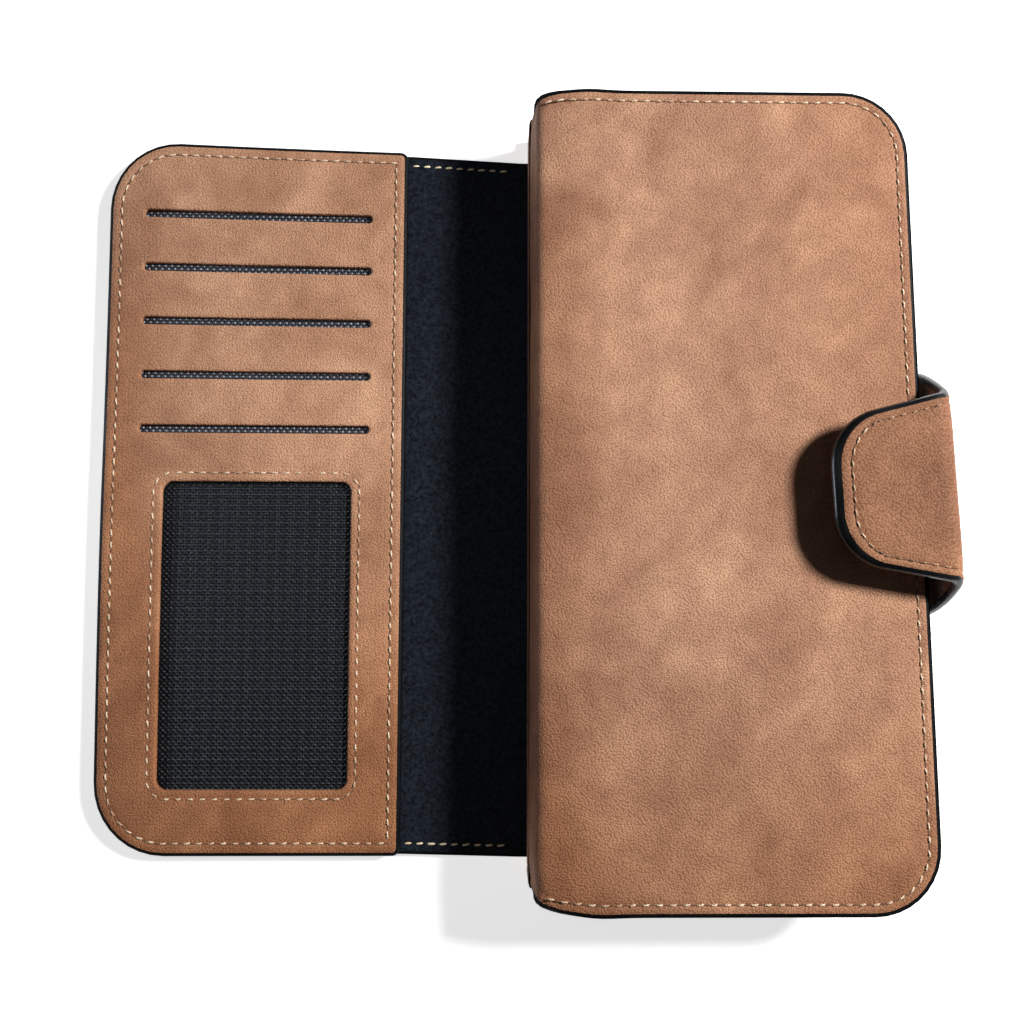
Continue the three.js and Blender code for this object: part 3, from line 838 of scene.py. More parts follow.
def buildWing():
    s = wingStyle
    panelLow, panelHigh = boxOf("card_panel")
    coverLow, coverHigh = boxOf("wing_leather")
    box = (panelLow[0], panelLow[1], panelHigh[0] + s["overlap"], panelHigh[1])
    radii = (s["corner"], s["foldCorner"], s["foldCorner"], s["corner"])
    waves, dents = roughness(3, 26.0), roughness(5, 9.0)

    def outline(inset):
        return roundedLoop(box, radii, inset)

    def edgeRoom(x, y):
        return np.minimum(np.minimum(x - box[0], box[2] - x), np.minimum(y - box[1], box[3] - y))

    def lift(x, y):
        room = smooth(2.5, 7.0, edgeRoom(x, y))
        return room * (0.16 * waves(x, y) + 0.06 * dents(x, y))

    holes = []
    top = panelHigh[2]
    slotRings = [(0.0, top - 1.0, False), (0.0, top - 0.25, False), (0.1, top - 0.02, False),
                 (0.3, top + 0.1, False), (0.8, top + 0.12, False)]
    for i in range(s["slots"]):
        x0 = box[0] + s["slotEdge"]
        y = box[3] - s["slotTop"] - i * s["slotPitch"]
        slotBox = (x0, y - s["slotWidth"] / 2, x0 + s["slotLength"], y + s["slotWidth"] / 2)

        def slotLoop(inset, b=slotBox):
            return roundedLoop(b, (s["slotWidth"] / 2 - 0.03,) * 4, inset, steps=6, pitch=1.8)

        holes.append((slotLoop, slotRings))
    wx, wy = box[0] + s["windowEdge"], box[1] + s["windowBottom"]
    windowBox = (wx, wy, wx + s["windowWidth"], wy + s["windowHeight"])

    def windowLoop(inset):
        return roundedLoop(windowBox, (s["windowCorner"],) * 4, inset, steps=7)

    frameRings = [(0.0, top - 1.0, False), (0.0, top - 0.3, False), (0.15, top - 0.02, False),
                  (0.5, top + 0.16, False), (s["frameStitch"] - 0.8, top + 0.16, False),
                  (s["frameStitch"], top - 0.02, False), (s["frameStitch"] + 0.8, top + 0.12, False)]
    holes.append((windowLoop, frameRings))
    rings = roundRings(top - 1.9, top - 0.1, 0.8, s["edge"], s["stitch"])

    # darker towards the bottom and the outer side
    def darkening(x, y):
        side = np.exp(-(np.clip(x - box[0], 0, 99) / 13.0) ** 2) * smooth(75, 30, y)
        return np.clip(smooth(28, -72, y) + 0.9 * side, 0, 1)

    flat = pulled(None, wingPull)
    panel = sheetObject("wingPanel", outline, rings, [panelLeather, edgePaint], 1.9, holes, lift, flat, 0,
                        darkening)
    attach(panel, "wing")
    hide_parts("card_panel")

    flip = coverHigh[2] + 0.9
    coverRings = roundRings(coverLow[2] + 0.05, flip + 0.6, 0.8, s["edge"], s["stitch"])

    def turned(u, v, t):
        return np.stack([box[0] + box[2] - u, v, flip + 0.72 - t], -1)

    def coverOutline(inset):
        return roundedLoop(box, (s["foldCorner"], s["corner"], s["corner"], s["foldCorner"]), inset)

    turned = pulled(turned, wingPull)
    cover = sheetObject("wingCover", coverOutline, coverRings, [bodyLeather, edgePaint], 3.0, (), None,
                        turned)
    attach(cover, "wing")
    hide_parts("wing_leather")

    stitchLoop = roundedLoop(box, radii, s["stitch"])
    rows = alongLoop(stitchLoop, sewing["pitch"], lambda x, y: x < box[2] - s["rightStitch"] - 0.5)
    sewLine("wingEdgeSewing", rows, top - 0.01, flat, sewn, "wing", 11)
    sewX, sewGap = box[2] - s["rightStitch"], 3.6
    foldLine = np.array([(sewX, box[1] + sewGap), (sewX, box[3] - sewGap)])
    foldRows = alongLoop(foldLine, sewing["pitch"], closed=False)
    sewLine("wingFoldSewing", foldRows, top, flat, sewn, "wing", 12)
    frameRows = alongLoop(windowLoop(-s["frameStitch"]), sewing["pitch"])
    sewLine("windowSewing", frameRows, top, flat, sewn, "wing", 13)
    coverRows = alongLoop(stitchLoop, sewing["pitch"], lambda x, y: x < box[2] - s["rightStitch"])
    coverRows = coverRows * np.array([-1, 1, -1]) + np.array([box[0] + box[2], 0, math.pi])
    sewLine("wingCoverSewing", coverRows, flip + 0.62, turned, sewn, "wing", 14)
    buildWindowMesh(windowBox)
    print("card wing made")
    return box


def buildWindowMesh(windowBox):
    # A woven sheet whose strands stand up a little, stretched under the window and slightly uneven
    s = wingStyle
    meshLow, meshHigh = boxOf("id_window_mesh")
    step, tuck = s["meshStep"], s["meshTuck"]
    countX = int((windowBox[2] - windowBox[0] + 2 * tuck) / step)
    countY = int((windowBox[3] - windowBox[1] + 2 * tuck) / step)
    gx, gy = np.meshgrid(np.arange(countX + 1) * step + windowBox[0] - tuck,
                         np.arange(countY + 1) * step + windowBox[1] - tuck)
    product = np.sin(gx * math.pi / windowPitch) * np.sin(gy * math.pi / windowPitch)
    sag = 0.22 * np.array([[noise.noise(Vector((x / 18, y / 18, 4.0))) for x in gx[0]] for y in gy[:, 0]])
    gz = meshHigh[2] + 0.35 + 0.12 * (np.abs(product) + 0.5 * product) + sag
    top = np.stack([gx, gy, gz], -1).reshape(-1, 3)
    wide = countX + 1
    faces = [(j * wide + i, j * wide + i + 1, (j + 1) * wide + i + 1, (j + 1) * wide + i)
             for j in range(countY) for i in range(countX)]
    ring = ([i for i in range(wide)] + [j * wide + countX for j in range(1, countY + 1)]
            + [countY * wide + i for i in range(countX - 1, -1, -1)]
            + [j * wide for j in range(countY - 1, 0, -1)])
    under = top[ring].copy()
    under[:, 2] = meshLow[2]
    start = len(top)
    faces += [(ring[k], start + k, start + (k + 1) % len(ring), ring[(k + 1) % len(ring)])
              for k in range(len(ring))]
    faces.append(tuple(range(start + len(ring) - 1, start - 1, -1)))
    cloth = np.concatenate([top, under])
    window = makeObject("windowMesh", wingPull(cloth), faces, [windowMesh], cloth, sharp=80)
    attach(window, "wing")
    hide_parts("id_window_mesh")


wingBox = buildWing()


# the fold strip

stripStyle = {
    "underPanel": 3.0,  # how far the lining goes under the card panel
    "edgeWidth": 0.8, "stitch": 2.6,
    "foldReach": 3.4,  # how far from a joint the strip would bend; nothing here bends it
}


def buildStrip():
    s = stripStyle
    leatherLow, leatherHigh = boxOf("strip_leather")
    liningLow, liningHigh = boxOf("strip_lining")
    bodyLow = boxOf("back_cover_leather")[0]
    middle = (leatherLow[0] + leatherHigh[0]) / 2
    y0, y1 = leatherLow[1], leatherHigh[1]
    firstFold, secondFold = jointPlace("strip_fold")[0], jointPlace("wing_fold")[0]
    bendStart, bendEnd = secondFold + s["foldReach"], secondFold - 1.6
    nap = roughness(9, 14.0)
    halves = [("Body", middle, bodyLow[0] + 0.35, "root", "wing_strip", firstFold + 1.3,
               firstFold - s["foldReach"]),
              ("Wing", wingBox[2] - s["underPanel"], middle, "wing_strip", "wing", bendStart, bendEnd)]
    for name, x0, x1, bodyA, bodyB, blendA, blendB in halves:
        for layerName, low, high, material, nodeName, slotName in (
                ("stripLeather", leatherLow[2] + 0.05, liningLow[2] - 0.05, bodyLeather, "strip_leather",
                 "leather"),
                ("stripLining", liningLow[2], liningHigh[2] + 0.05, lining, "strip_lining", "lining")):
            start = x0 if layerName == "stripLining" or name == "Body" else wingBox[2] + 0.05
            box = (start, y0, x1, y1)

            def outline(inset, box=box):
                return roundedLoop(box, (0.05,) * 4, inset, sides=(0, 1, 0, 1), steps=2, pitch=1.2)

            def lift(x, y):
                return 0.05 * nap(x, y)

            edge = (high - low) / 2
            rings = [(0.9, low, False), (0.5, low, False), (0.2, low + edge * 0.3, True),
                     (0.0, low + edge, True), (0.12, high - edge * 0.35, True), (0.45, high - 0.03, True),
                     (s["edgeWidth"], high, True), (s["edgeWidth"] + 0.2, high + 0.02, False)]
            if layerName == "stripLining":
                rings += [(s["stitch"] - 0.6, high + 0.02, False), (s["stitch"], high - 0.1, False),
                          (s["stitch"] + 0.6, high + 0.02, False)]
            piece = sheetObject(layerName + name, outline, rings, [material, edgePaint], 0.95, (), lift,
                                pulled(None, stripPull))
            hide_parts(nodeName)
            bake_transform(piece)
    for sign, label in ((1, "Upper"), (-1, "Lower")):
        y = sign * (y1 - s["stitch"])
        line = np.array([(wingBox[2] + 0.3, y), (firstFold - 3.2, y)])
        rows = alongLoop(line, sewing["pitch"], closed=False)
        blend = ("wing_strip", "wing", (bendStart / 1000, 0, 0.001), (bendEnd / 1000, 0, 0.001))
        # the strip's stitches take the brighter gold thread: painted light in the body's shadow
        sewLine("strip" + label, rows, liningHigh[2] - 0.06, pulled(None, stripPull),
                [goldThreadPaintedLight, edgePaint], "wing_strip", 21 + sign, 1.15, blend)
    print("fold strip made")


buildStrip()


# the back and its lining

bodyStyle = {
    "corner": 15.0, "edge": 0.9, "stitch": 2.7,
    "spineRound": 3.3, "footRound": 3.0, "liningRound": 2.2,
    "spinePull": 2.6,  # how much shorter the skin is along the spine
    "cameraSize": 34.0, "cameraCorner": 8.0, "cameraInset": 8.0, "trayWall": 1.6,
}


def leafPath():
    # From the middle of the spine up, round, and over the leaf
    low, high = boxOf("front_leaf_leather")
    middle = (jointPlace("spine_fold")[2] + jointPlace("leaf_fold")[2]) / 2
    return pathMap([(low[0], middle), (low[0], high[2]), (high[0], high[2])], [bodyStyle["spineRound"]])


def bottomPath():
    # From the strap's side under the back, round, and up to the middle of the spine
    s = bodyStyle
    low, high = boxOf("back_cover_leather")
    middle = (jointPlace("spine_fold")[2] + jointPlace("leaf_fold")[2]) / 2
    return pathMap([(high[0], 0.2), (low[0], 0.2), (low[0], middle)], [s["footRound"]])


def pullIn(u, v, start, end, amount, reach):
    # Draws a sheet's two ends in between start and end
    share = smooth(start, end, u)
    return v - np.sign(v) * amount * share * smooth(reach - 14, reach, np.abs(v))


def buildBackCover():
    s = bodyStyle
    low, high = boxOf("back_cover_leather")
    place, total = bottomPath()
    flatLength = high[0] - low[0]

    # the way along the bottom runs right to left, so its left-hand side is the outside
    def placed(u, v, t):
        v = pullIn(u, np.asarray(v, float), flatLength - 6, flatLength + 4, s["spinePull"], high[1])
        return place(u, v, t)

    trayHigh = boxOf("phone_tray")[1]
    inset = s["trayWall"] + s["cameraInset"] + s["cameraSize"] / 2
    cx, cy = trayHigh[0] - inset, trayHigh[1] - inset
    half = s["cameraSize"] / 2 + 1.0
    cu = high[0] - cx
    return cx, cy, cu, half, placed, total, flatLength


def buildBackPieces():
    s = bodyStyle
    low, high = boxOf("back_cover_leather")
    cx, cy, cu, half, placed, total, flatLength = buildBackCover()
    box = (0.0, low[1], total, high[1])
    radii = (s["corner"], 0.05, 0.05, s["corner"])

    def outline(inset):
        return roundedLoop(box, radii, inset, sides=(1, 1, 0, 1))

    def cameraLoop(inset):
        return roundedLoop((cu - half, cy - half, cu + half, cy + half), (s["cameraCorner"],) * 4, inset,
                           steps=6)

    # painted shade: the back's foot round and the spine's wall are darkened, as they turn away from the light
    def darkening(u, v):
        return 0.9 * smooth(flatLength - 8, flatLength + 4, u)

    holeRings = [(0.0, -1.25, True), (0.0, -0.25, True), (0.25, -0.02, True), (0.75, 0.05, False)]
    rings = roundRings(-1.25, -0.06, 0.6, s["edge"], s["stitch"])
    restShift = boxOf("front_leaf_leather")[1][0] - leafPath()[1] - total  # the leaf's grain goes on here
    cover = sheetObject("backCover", outline, rings, [bodyLeather, edgePaint], 2.6,
                        [(cameraLoop, holeRings)], None, placed, restShift, darkening)
    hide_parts("back_cover_leather")
    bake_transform(cover)

    rows = alongLoop(outline(s["stitch"]), sewing["pitch"], lambda x, y: x < flatLength - 4)
    sewLine("backSewing", rows, 0.0, placed, sewn, "root", 33)
    return cx, cy, half


def flatBox(node, grow=0.0):
    # A node's outline from above, grown a little, and its two corners
    low, high = boxOf(node)
    return (low[0] - grow, low[1] - grow, high[0] + grow, high[1] + grow), low, high


def buildBackInside(cx, cy, half):
    s = bodyStyle
    box, low, high = flatBox("back_lining", 1.0)
    corner = s["corner"] - 0.6

    def outline(inset):
        return roundedLoop(box, (0.6, corner, corner, 0.6), inset)

    def cameraLoop(inset):
        return roundedLoop((cx - half, cy - half, cx + half, cy + half), (s["cameraCorner"],) * 4, inset,
                           steps=6)

    holeRings = [(0.0, low[2] - 0.6, True), (0.0, high[2] - 0.2, True), (0.2, high[2] - 0.02, True),
                 (0.6, high[2] + 0.03, False)]
    rings = roundRings(low[2] - 0.6, high[2] - 0.08, 0.6, s["edge"])
    inside = sheetObject("backLining", outline, rings, [lining, edgePaint], 3.0, [(cameraLoop, holeRings)])
    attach(inside, "root")
    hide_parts("back_lining")

    # the core of the back shows only at its edge, between the leather and the lining
    coreBox = flatBox("back_board", 0.9)[0]

    def coreOutline(inset):
        return roundedLoop(coreBox, (0.6, corner, corner, 0.6), inset)

    def coreCamera(inset):
        return roundedLoop((cx - half, cy - half, cx + half, cy + half), (s["cameraCorner"],) * 4,
                           inset - 0.15, steps=6)

    wallRings = [(0.0, 1.35, True), (0.0, 3.0, True)]
    coreRings = [(1.0, 1.35, True), (0.3, 1.5, True), (0.0, 2.1, True), (0.3, 2.7, True), (1.0, 3.0, True)]
    core = sheetObject("backEdge", coreOutline, coreRings, [edgePaint, edgePaint], 6.0,
                       [(coreCamera, wallRings)])
    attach(core, "root")
    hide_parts("back_board", "strap_base")
    print("back made")


cameraX, cameraY, cameraHalf = buildBackPieces()
buildBackInside(cameraX, cameraY, cameraHalf)


# the front leaf and the spine

def buildLeaf():
    s = bodyStyle
    low, high = boxOf("front_leaf_leather")
    place, total = leafPath()
    bend = total - (high[0] - low[0])
    waves, dents, ripples = roughness(41, 34.0), roughness(43, 12.0), roughness(47, 7.0)
    restShift = high[0] - total

    def placed(u, v, t):
        v = pullIn(bend + 8 - u, np.asarray(v, float), 0, 13, s["spinePull"], high[1])
        swell = 0.35 * np.exp(-((u - bend - 14) / 5.0) ** 2) * smooth(high[1] - 10, high[1], np.abs(v))
        v = v + np.sign(v) * swell
        return leafPull(place(u, v, t))

    box = (0.0, low[1], total, high[1])
    radii = (0.05, s["corner"], s["corner"], 0.05)

    def outline(inset):
        return roundedLoop(box, radii, inset, sides=(0, 1, 1, 1))

    # darker near the spine, towards the bottom and towards the strap's side, with painted shade on the
    # spine's bend and wall
    def darkening(u, v):
        spine = np.exp(-(np.clip(u - bend, 0, 99) / 14.0) ** 2) * (1 - 0.8 * smooth(50, 85, v))
        # painted shade: the spine's bend and wall turn away from the light, so they are darkened
        edge = 0.9 * (1 - smooth(3.5, 8.0, u))
        side = smooth(total - 48, total - 6, u) * (0.5 + 0.5 * smooth(-60, 60, v))
        return np.clip(0.6 * spine + (0.6 * smooth(-35, -92, v) + 0.42 * side) * (1 - edge) + edge, 0, 0.95)

    def lift(u, v):
        room = np.minimum(np.minimum(total - u, high[1] - np.abs(v)), 12 + 0 * u)
        soft = smooth(2.9, 9.0, room)
        spine = np.exp(-(np.clip(u - bend, 0, 99) / 7.5) ** 2) * smooth(0, bend, u)
        cushion = 0.20 + 0.25 * waves(u, v) + 0.09 * dents(u, v)
        return soft * cushion + spine * (0.35 * ripples(v, 0 * u) - 1.0)

    rings = roundRings(-1.35, -0.50, 0.65, s["edge"], s["stitch"], 0.2)
    leaf = sheetObject("leafLeather", outline, rings, [bodyLeather, edgePaint], 1.4, (), lift, placed,
                       restShift, darkening)
    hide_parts("front_leaf_leather", "spine_leather")
    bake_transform(leaf)
    rows = alongLoop(outline(s["stitch"]), sewing["pitch"], lambda x, y: x > bend + 3.0)
    sewLine("leafSewing", rows, -0.44, placed, sewn, "front_leaf", 51)
    print("front leaf made")


def buildLeafInside():
    s = bodyStyle
    outer = boxOf("front_leaf_leather")
    box, low, high = flatBox("front_leaf_lining", 1.0)
    box = (box[0] - 1.0, box[1], box[2], box[3])
    corner = s["corner"] - 0.4

    def turned(u, v, t):
        return leafPull(np.stack([u, -np.asarray(v), -np.asarray(t)], -1))

    def outline(inset):
        return roundedLoop(box, (0.6, corner, corner, 0.6), inset)

    rings = roundRings(-(high[2] + 0.5), -(low[2] + 0.05), 0.6, s["edge"], s["stitch"])
    inner = sheetObject("leafLining", outline, rings, [lining, edgePaint], 3.0, (), None, turned)
    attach(inner, "front_leaf")
    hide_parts("front_leaf_lining")
    rows = alongLoop(outline(s["stitch"]), sewing["pitch"])
    sewLine("leafLiningSewing", rows, -low[2] - 0.02, turned, [thread, edgePaint], "front_leaf", 53)
    coreBox = (box[0] + 7.0, box[1] - 0.25, box[2] + 0.25, box[3] + 0.25)

    def coreOutline(inset):
        return roundedLoop(coreBox, (0.6, corner, corner, 0.6), inset)

    z0, z1 = high[2] + 0.55, outer[0][2] - 0.3
    coreRings = [(0.9, z0, True), (0.25, z0 + 0.15, True), (0.0, (z0 + z1) / 2, True),
                 (0.25, z1 - 0.15, True), (0.9, z1, True)]
    core = sheetObject("leafEdge", coreOutline, coreRings, [edgePaint, edgePaint], 6.0, (), None,
                       pulled(None, leafPull))
    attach(core, "front_leaf")
    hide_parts("front_leaf_board")
    for i in range(3):
        nodeName = f"leaf_pocket_{i + 1}"
        pocketBox, pLow, pHigh = flatBox(nodeName)
        pocketCorner = s["corner"] - 5.6

        def pocketOutline(inset, b=pocketBox):
            return roundedLoop((b[0], -b[3], b[2], -b[1]), (0.8, 0.8, pocketCorner, 0.8), inset)

        def puff(x, y, r=roughness(60 + i, 20.0)):
            return 0.15 * r(x, y)

        rings = roundRings(-pHigh[2] - 0.1, -pLow[2] - 0.1, 0.35, 0.5, 2.0, 0.12)
        pocket = sheetObject(f"leafPocket{i + 1}", pocketOutline, rings, [panelLeather, edgePaint], 3.0,
                             (), puff, turned)
        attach(pocket, "front_leaf")
        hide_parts(nodeName)
        rows = alongLoop(pocketOutline(2.0), sewing["pitch"])
        sewLine(f"leafPocketSewing{i + 1}", rows, -pLow[2] - 0.02, turned, sewn, "front_leaf", 70 + i)
    print("leaf inside made")


def buildSpineLining():
    s = bodyStyle
    low, high = boxOf("spine_lining")
    backTop = boxOf("back_lining")[1][2]
    leafBottom = boxOf("front_leaf_lining")[0][2]
    foldLow, foldHigh = jointPlace("spine_fold"), jointPlace("leaf_fold")
    middle = (foldLow[2] + foldHigh[2]) / 2
    x = high[0]
    reach = 4.5
    lowerWay = [(x + reach, backTop + 0.1), (x, backTop + 0.1), (x, middle)]
    upperWay = [(x, middle), (x, leafBottom - 0.1), (x + reach, leafBottom - 0.1)]
    halves = [("Lower", lowerWay, "root", "inner_spine",
               (x, 0, foldLow[2] - 1.5), (x, 0, foldLow[2] + 3.5)),
              ("Upper", upperWay, "inner_spine", "front_leaf",
               (x, 0, foldHigh[2] - 7.0), (x + 3.0, 0, foldHigh[2] - 3.0))]
    for name, corners, bodyA, bodyB, start, end in halves:
        place, total = pathMap(corners, [s["liningRound"]])
        box = (0.0, low[1], total, high[1])

        # turned over, so that the lining's face looks into the case
        def placed(u, v, t, p=place):
            return p(u, -np.asarray(v), -t)

        def outline(inset, b=box):
            return roundedLoop(b, (0.05,) * 4, inset, sides=(0, 1, 0, 1), steps=2, pitch=1.2)

        rings = [(0.6, -0.7, False), (0.2, -0.7, False), (0.0, -0.35, False), (0.2, 0.0, False),
                 (0.6, 0.0, False)]
        piece = sheetObject("spineLining" + name, outline, rings, [lining, edgePaint], 1.4, (), None,
                            placed)
        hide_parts("spine_lining")
        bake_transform(piece)


buildLeaf()
buildLeafInside()
buildSpineLining()


# the closing strap

strapStyle = {
    "baseHalf": 30.0, "foldHalf": 21.0, "tipHalf": 14.0,  # half widths at the foot, the bend and the tip
    "curve": 2.2,  # how late the flare comes in
    "corner": 13.0, "topRound": 2.6, "footRound": 1.5, "thick": 2.5, "tongue": 8.0,
    "edge": 1.3, "stitch": 2.9,
}


def buildStrap():
    s = strapStyle
    tabLow, tabHigh = boxOf("strap_tab_leather")
    innerLow = boxOf("strap_tab_lining")[0]
    liftAt, foldAt = jointPlace("strap_lift"), jointPlace("tab_fold")
    midX = foldAt[0]
    midZ = (innerLow[2] + tabHigh[2]) / 2
    footZ = liftAt[2]
    corners = [(midX - s["tongue"], footZ), (midX, footZ), (midX, midZ), (tabLow[0], midZ)]
    place, total = pathMap(corners, [s["footRound"], s["topRound"]])
    footLength = s["tongue"]
    topU = footLength + (midZ - footZ) - 0.9
    middleU = footLength + (midZ - footZ) / 2
    tipU = total
    lean = math.atan2(s["foldHalf"] - s["tipHalf"], tipU - topU)
    r = s["corner"]
    arcV = s["tipHalf"] - r + (r - r * math.cos(lean)) + r * math.sin(lean)
    arcU = tipU - r

    def halfWidth(u):
        share = np.clip((u - footLength) / (topU - footLength), 0, 1)
        side = s["baseHalf"] + (s["foldHalf"] - s["baseHalf"]) * share ** s["curve"]
        startV, endV = s["foldHalf"], arcV + r * math.cos(lean)
        tab = startV + (endV - startV) * np.clip((u - topU) / (arcU + r * math.sin(lean) - topU), 0, 1)
        return np.where(u < topU, side, tab)

    def lowerLoop(inset):
        us = np.linspace(0, middleU, 26)
        ws = halfWidth(us) - inset
        right = np.stack([us, -ws], -1)
        cap = np.stack([np.full(17, middleU), np.linspace(-ws[-1], ws[-1], 19)[1:-1]], -1)
        back = np.stack([us[::-1], ws[::-1]], -1)
        end = np.stack([np.zeros(19), np.linspace(ws[0], -ws[0], 21)[1:-1]], -1)
        return np.concatenate([right, cap, back, end])

    def upperLoop(inset):
        us = np.linspace(middleU, arcU + r * math.sin(lean), 30)
        ws = halfWidth(us) - inset
        right = np.stack([us, -ws], -1)
        arcs = []
        tipInset = inset * 1.5
        for k in range(1, 25):
            a = -math.pi / 2 + lean + (math.pi / 2 - lean) * k / 24
            arcs.append((arcU + (r - tipInset) * math.cos(a), -arcV + (r - inset) * math.sin(a)))
        for k in range(1, 8):
            arcs.append((tipU - tipInset, -arcV + 2 * arcV * k / 8))
        for k in range(24):
            a = (math.pi / 2 - lean) * k / 24
            arcs.append((arcU + (r - tipInset) * math.cos(a), arcV + (r - inset) * math.sin(a)))
        back = np.stack([us[::-1], ws[::-1]], -1)
        start = np.stack([np.full(17, middleU), np.linspace(ws[0], -ws[0], 19)[1:-1]], -1)
        return np.concatenate([right, np.array(arcs), back, start])

    wave = roughness(81, 14.0)
    half = s["thick"] / 2

    # the outside is to the right of the way up the strap; the tab turns a little about its fold
    def placed(u, v, t):
        points = place(u, -np.asarray(v, float), -np.asarray(t, float))
        x, y, z = points[..., 0], points[..., 1], points[..., 2]
        turn = math.radians(pulls["strapTurn"]) * smooth(footZ + 4, midZ, z)
        return np.stack([x - turn * y, y + turn * (x - midX) - 0.6 * smooth(footZ, midZ, z), z], -1)

    def lift(u, v):
        room = halfWidth(u) - np.abs(v)
        return smooth(3.2, 8.0, np.minimum(room, tipU - u)) * (0.1 + 0.14 * wave(u, v))

    def bothFaces(inset, groove):
        rings = roundRings(-half, half, half, inset, groove, 0.22, 5)
        return [(groove, -half - 0.02, False), (inset + 0.4, -half - 0.02, False)] + rings[1:]

    for name, loop, bodyA, bodyB, start, end in (
            ("strapLower", lowerLoop, "root", "strap_side", (midX - 3.2, 0, footZ), (midX, 0, footZ + 5.0)),
            ("strapUpper", upperLoop, "strap_side", "strap_tab", (midX, 0, foldAt[2] - 4.5),
             (midX - 3.6, 0, foldAt[2] + 0.4))):
        piece = sheetObject(name, loop, bothFaces(s["edge"], s["stitch"]),
                            [strapLeather, glossPaint], 0.95, (), lift, placed, -tipU)
        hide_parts(*(("strap_side_leather", "strap_side_lining") if name == "strapLower"
                             else ("strap_tab_leather", "strap_tab_core", "strap_tab_lining")))
        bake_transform(piece)
    full = upperLoop(s["stitch"])
    rows = alongLoop(full, sewing["pitch"] * 0.92, lambda u, v: u > topU + 1.6)
    tip = rows[:, 0] > tipU - 9.0
    sewLine("strapTipSewing", rows[tip], half + 0.1, placed, sewn, "strap_tab", 91, 0.92)
    # the side stitches take the dark copy of the thread: painted shade
    sewLine("strapTabSewing", rows[~tip], half + 0.07, placed, [paintedShadeThread, holeShade], "strap_tab", 93,
            0.85)
    print("strap made")


buildStrap()


# carried-over pieces

def dressFrameNodes():
    looks = {"phone_tray": trayPlastic, "wing_board": board}
    for name in ("tray_plate", "back_magnet_lower", "back_magnet_upper", "wing_snap_plate"):
        looks[name] = steel
    for i in range(wingStyle["slots"]):
        looks[f"card_pocket_{i + 1}"] = pocketMesh
    for name, material in looks.items():
        obj = frame["nodes"][name]
        obj.data.materials.clear()
        obj.data.materials.append(material)
    bevel = frame["nodes"]["phone_tray"].modifiers.new("softEdges", "BEVEL")
    bevel.width = 0.0004
    bevel.segments = 3
    bevel.limit_method = "ANGLE"
    bevel.angle_limit = math.radians(40)
    print("frame nodes dressed")


dressFrameNodes()


# stage, light and camera

stageStyle = {
    "floorSize": 4.0, "floorGlow": 0.70, "worldLight": 0.035,
    "keyPlace": (0.385, 0.165, 0.42), "keyPower": 5.9,
    "rimPlace": (-0.40, 0.06, 0.12), "rimPower": 0.9, "rimColour": (0.72, 0.84, 1.0),
    "fillPlace": (-0.17, 0.10, 0.44), "fillTarget": (-0.098, 0.0, 0.0), "fillPower": 1.2, "fillSpread": 26,
}
cameraStyle = {
    "lens": 35.15625, "sensor": 36.0,
    "fromSpine": -7.73, "front": -26.42, "height": 247.37,  # where it stands
    "tilt": -5.24, "lean": 0.93, "roll": -0.25,  # degrees
}


def area(name, place, target, size, power, colour=(1, 1, 1), onlyShine=False):
    light = bpy.data.lights.new(name, "AREA")
    light.shape = "DISK"
    light.size = size
    light.energy = power
    light.color = colour
    obj = bpy.data.objects.new(name, light)
    obj.location = place
    obj.rotation_euler = (Vector(target) - Vector(place)).to_track_quat("-Z", "Y").to_euler()
    obj.visible_diffuse = not onlyShine
    bpy.context.scene.collection.objects.link(obj)


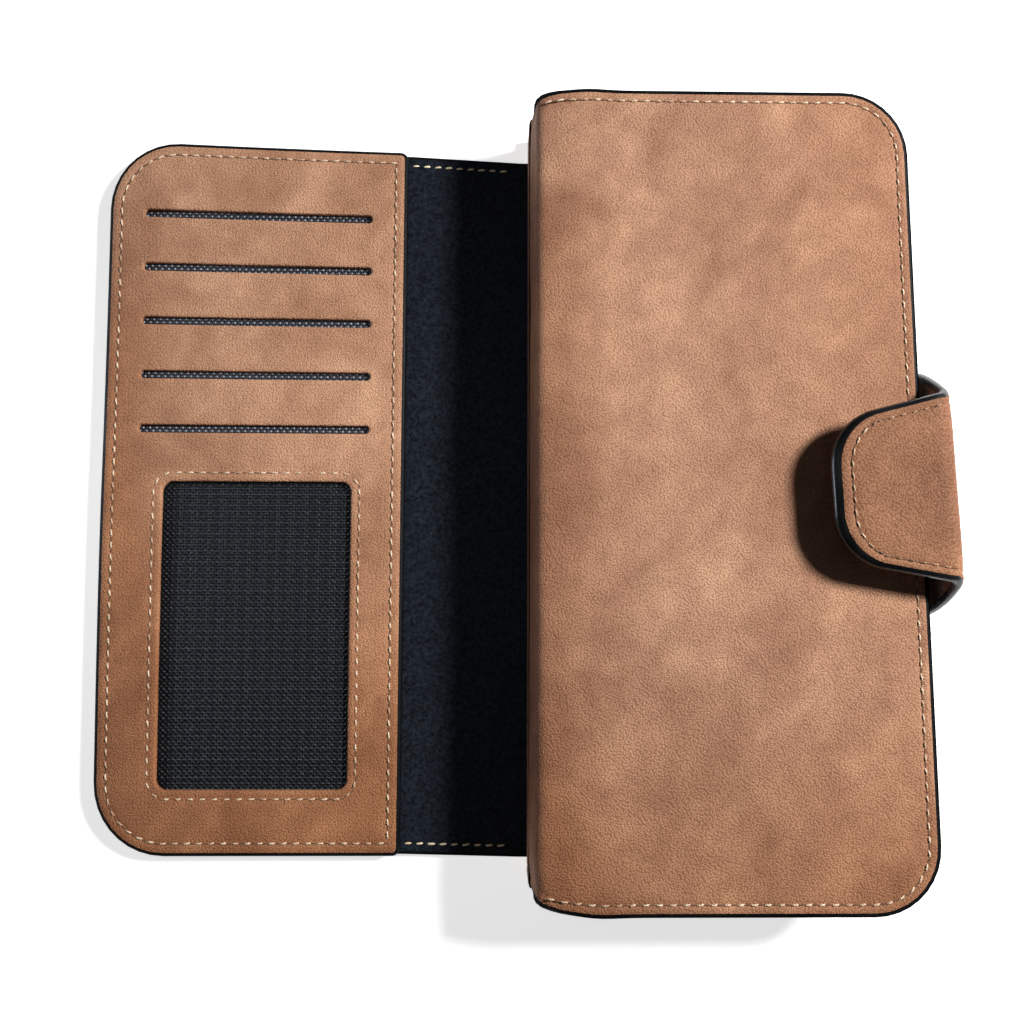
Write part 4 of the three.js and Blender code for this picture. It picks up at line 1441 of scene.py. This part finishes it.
def buildStage():
    size = stageStyle["floorSize"]
    mesh = bpy.data.meshes.new("floor")
    mesh.from_pydata([(-size, -size, 0), (size, -size, 0), (size, size, 0), (-size, size, 0)], [],
                     [(0, 1, 2, 3)])
    floor = bpy.data.objects.new("floor", mesh)
    floor.location = (0, 0, -0.0001)
    material, tree, shader = newMaterial("paleFloor")
    tone = node(tree, "ShaderNodeTexNoise", Scale=3.0)
    tree.links.new(tree.nodes.new("ShaderNodeTexCoord").outputs["Object"], tone.inputs["Vector"])
    tree.links.new(mixColour(tree, tone.outputs["Fac"], (0.9, 0.9, 0.9), (0.93, 0.93, 0.93)),
                   shader.inputs["Base Color"])
    shader.inputs["Roughness"].default_value = 0.9
    shader.inputs["Specular IOR Level"].default_value = 0.1
    shader.inputs["Emission Color"].default_value = (1, 1, 1, 1)
    shader.inputs["Emission Strength"].default_value = stageStyle["floorGlow"]
    mesh.materials.append(material)
    bpy.context.scene.collection.objects.link(floor)
    world = bpy.data.worlds.new("studio")
    world.use_nodes = True
    background = world.node_tree.nodes["Background"]
    background.inputs["Color"].default_value = (1, 1, 1, 1)
    seen = world.node_tree.nodes.new("ShaderNodeLightPath").outputs["Is Camera Ray"]
    strength = maths(world.node_tree, "MAXIMUM", seen, stageStyle["worldLight"])  # white only to the camera
    world.node_tree.links.new(strength, background.inputs["Strength"])
    bpy.context.scene.world = world
    area("keyLight", stageStyle["keyPlace"], (0.0, 0.0, 0.02), 0.12, stageStyle["keyPower"])
    area("coolRim", stageStyle["rimPlace"], (0.0, 0.0, 0.03), 0.12, stageStyle["rimPower"],
         stageStyle["rimColour"], True)
    spot = bpy.data.lights.new("sideFill", "SPOT")
    spot.energy = stageStyle["fillPower"]
    spot.spot_size = math.radians(stageStyle["fillSpread"])
    spot.spot_blend = 0.7
    spot.shadow_soft_size = 0.05
    obj = bpy.data.objects.new("sideFill", spot)
    obj.location = stageStyle["fillPlace"]
    way = Vector(stageStyle["fillTarget"]) - obj.location
    obj.rotation_euler = way.to_track_quat("-Z", "Y").to_euler()
    bpy.context.scene.collection.objects.link(obj)


def buildCamera():
    s = cameraStyle
    camera = bpy.data.cameras.new("camera")
    camera.lens = s["lens"]
    camera.sensor_width = s["sensor"]
    camera.clip_start = 0.01
    spine = boxOf("back_cover_leather")[0][0]
    obj = bpy.data.objects.new("camera", camera)
    rx, ry, rz = (math.radians(s[name]) for name in ("tilt", "lean", "roll"))
    turn = Matrix.Rotation(rz, 4, "Z") @ Matrix.Rotation(ry, 4, "Y") @ Matrix.Rotation(rx, 4, "X")
    place = Matrix.Translation(((spine + s["fromSpine"]) / 1000, s["front"] / 1000, s["height"] / 1000))
    obj.matrix_world = place @ turn.inverted()
    bpy.context.scene.collection.objects.link(obj)
    bpy.context.scene.camera = obj


buildStage()
buildCamera()
bpy.context.scene.view_settings.view_transform = "Standard"
print("stage and camera made")
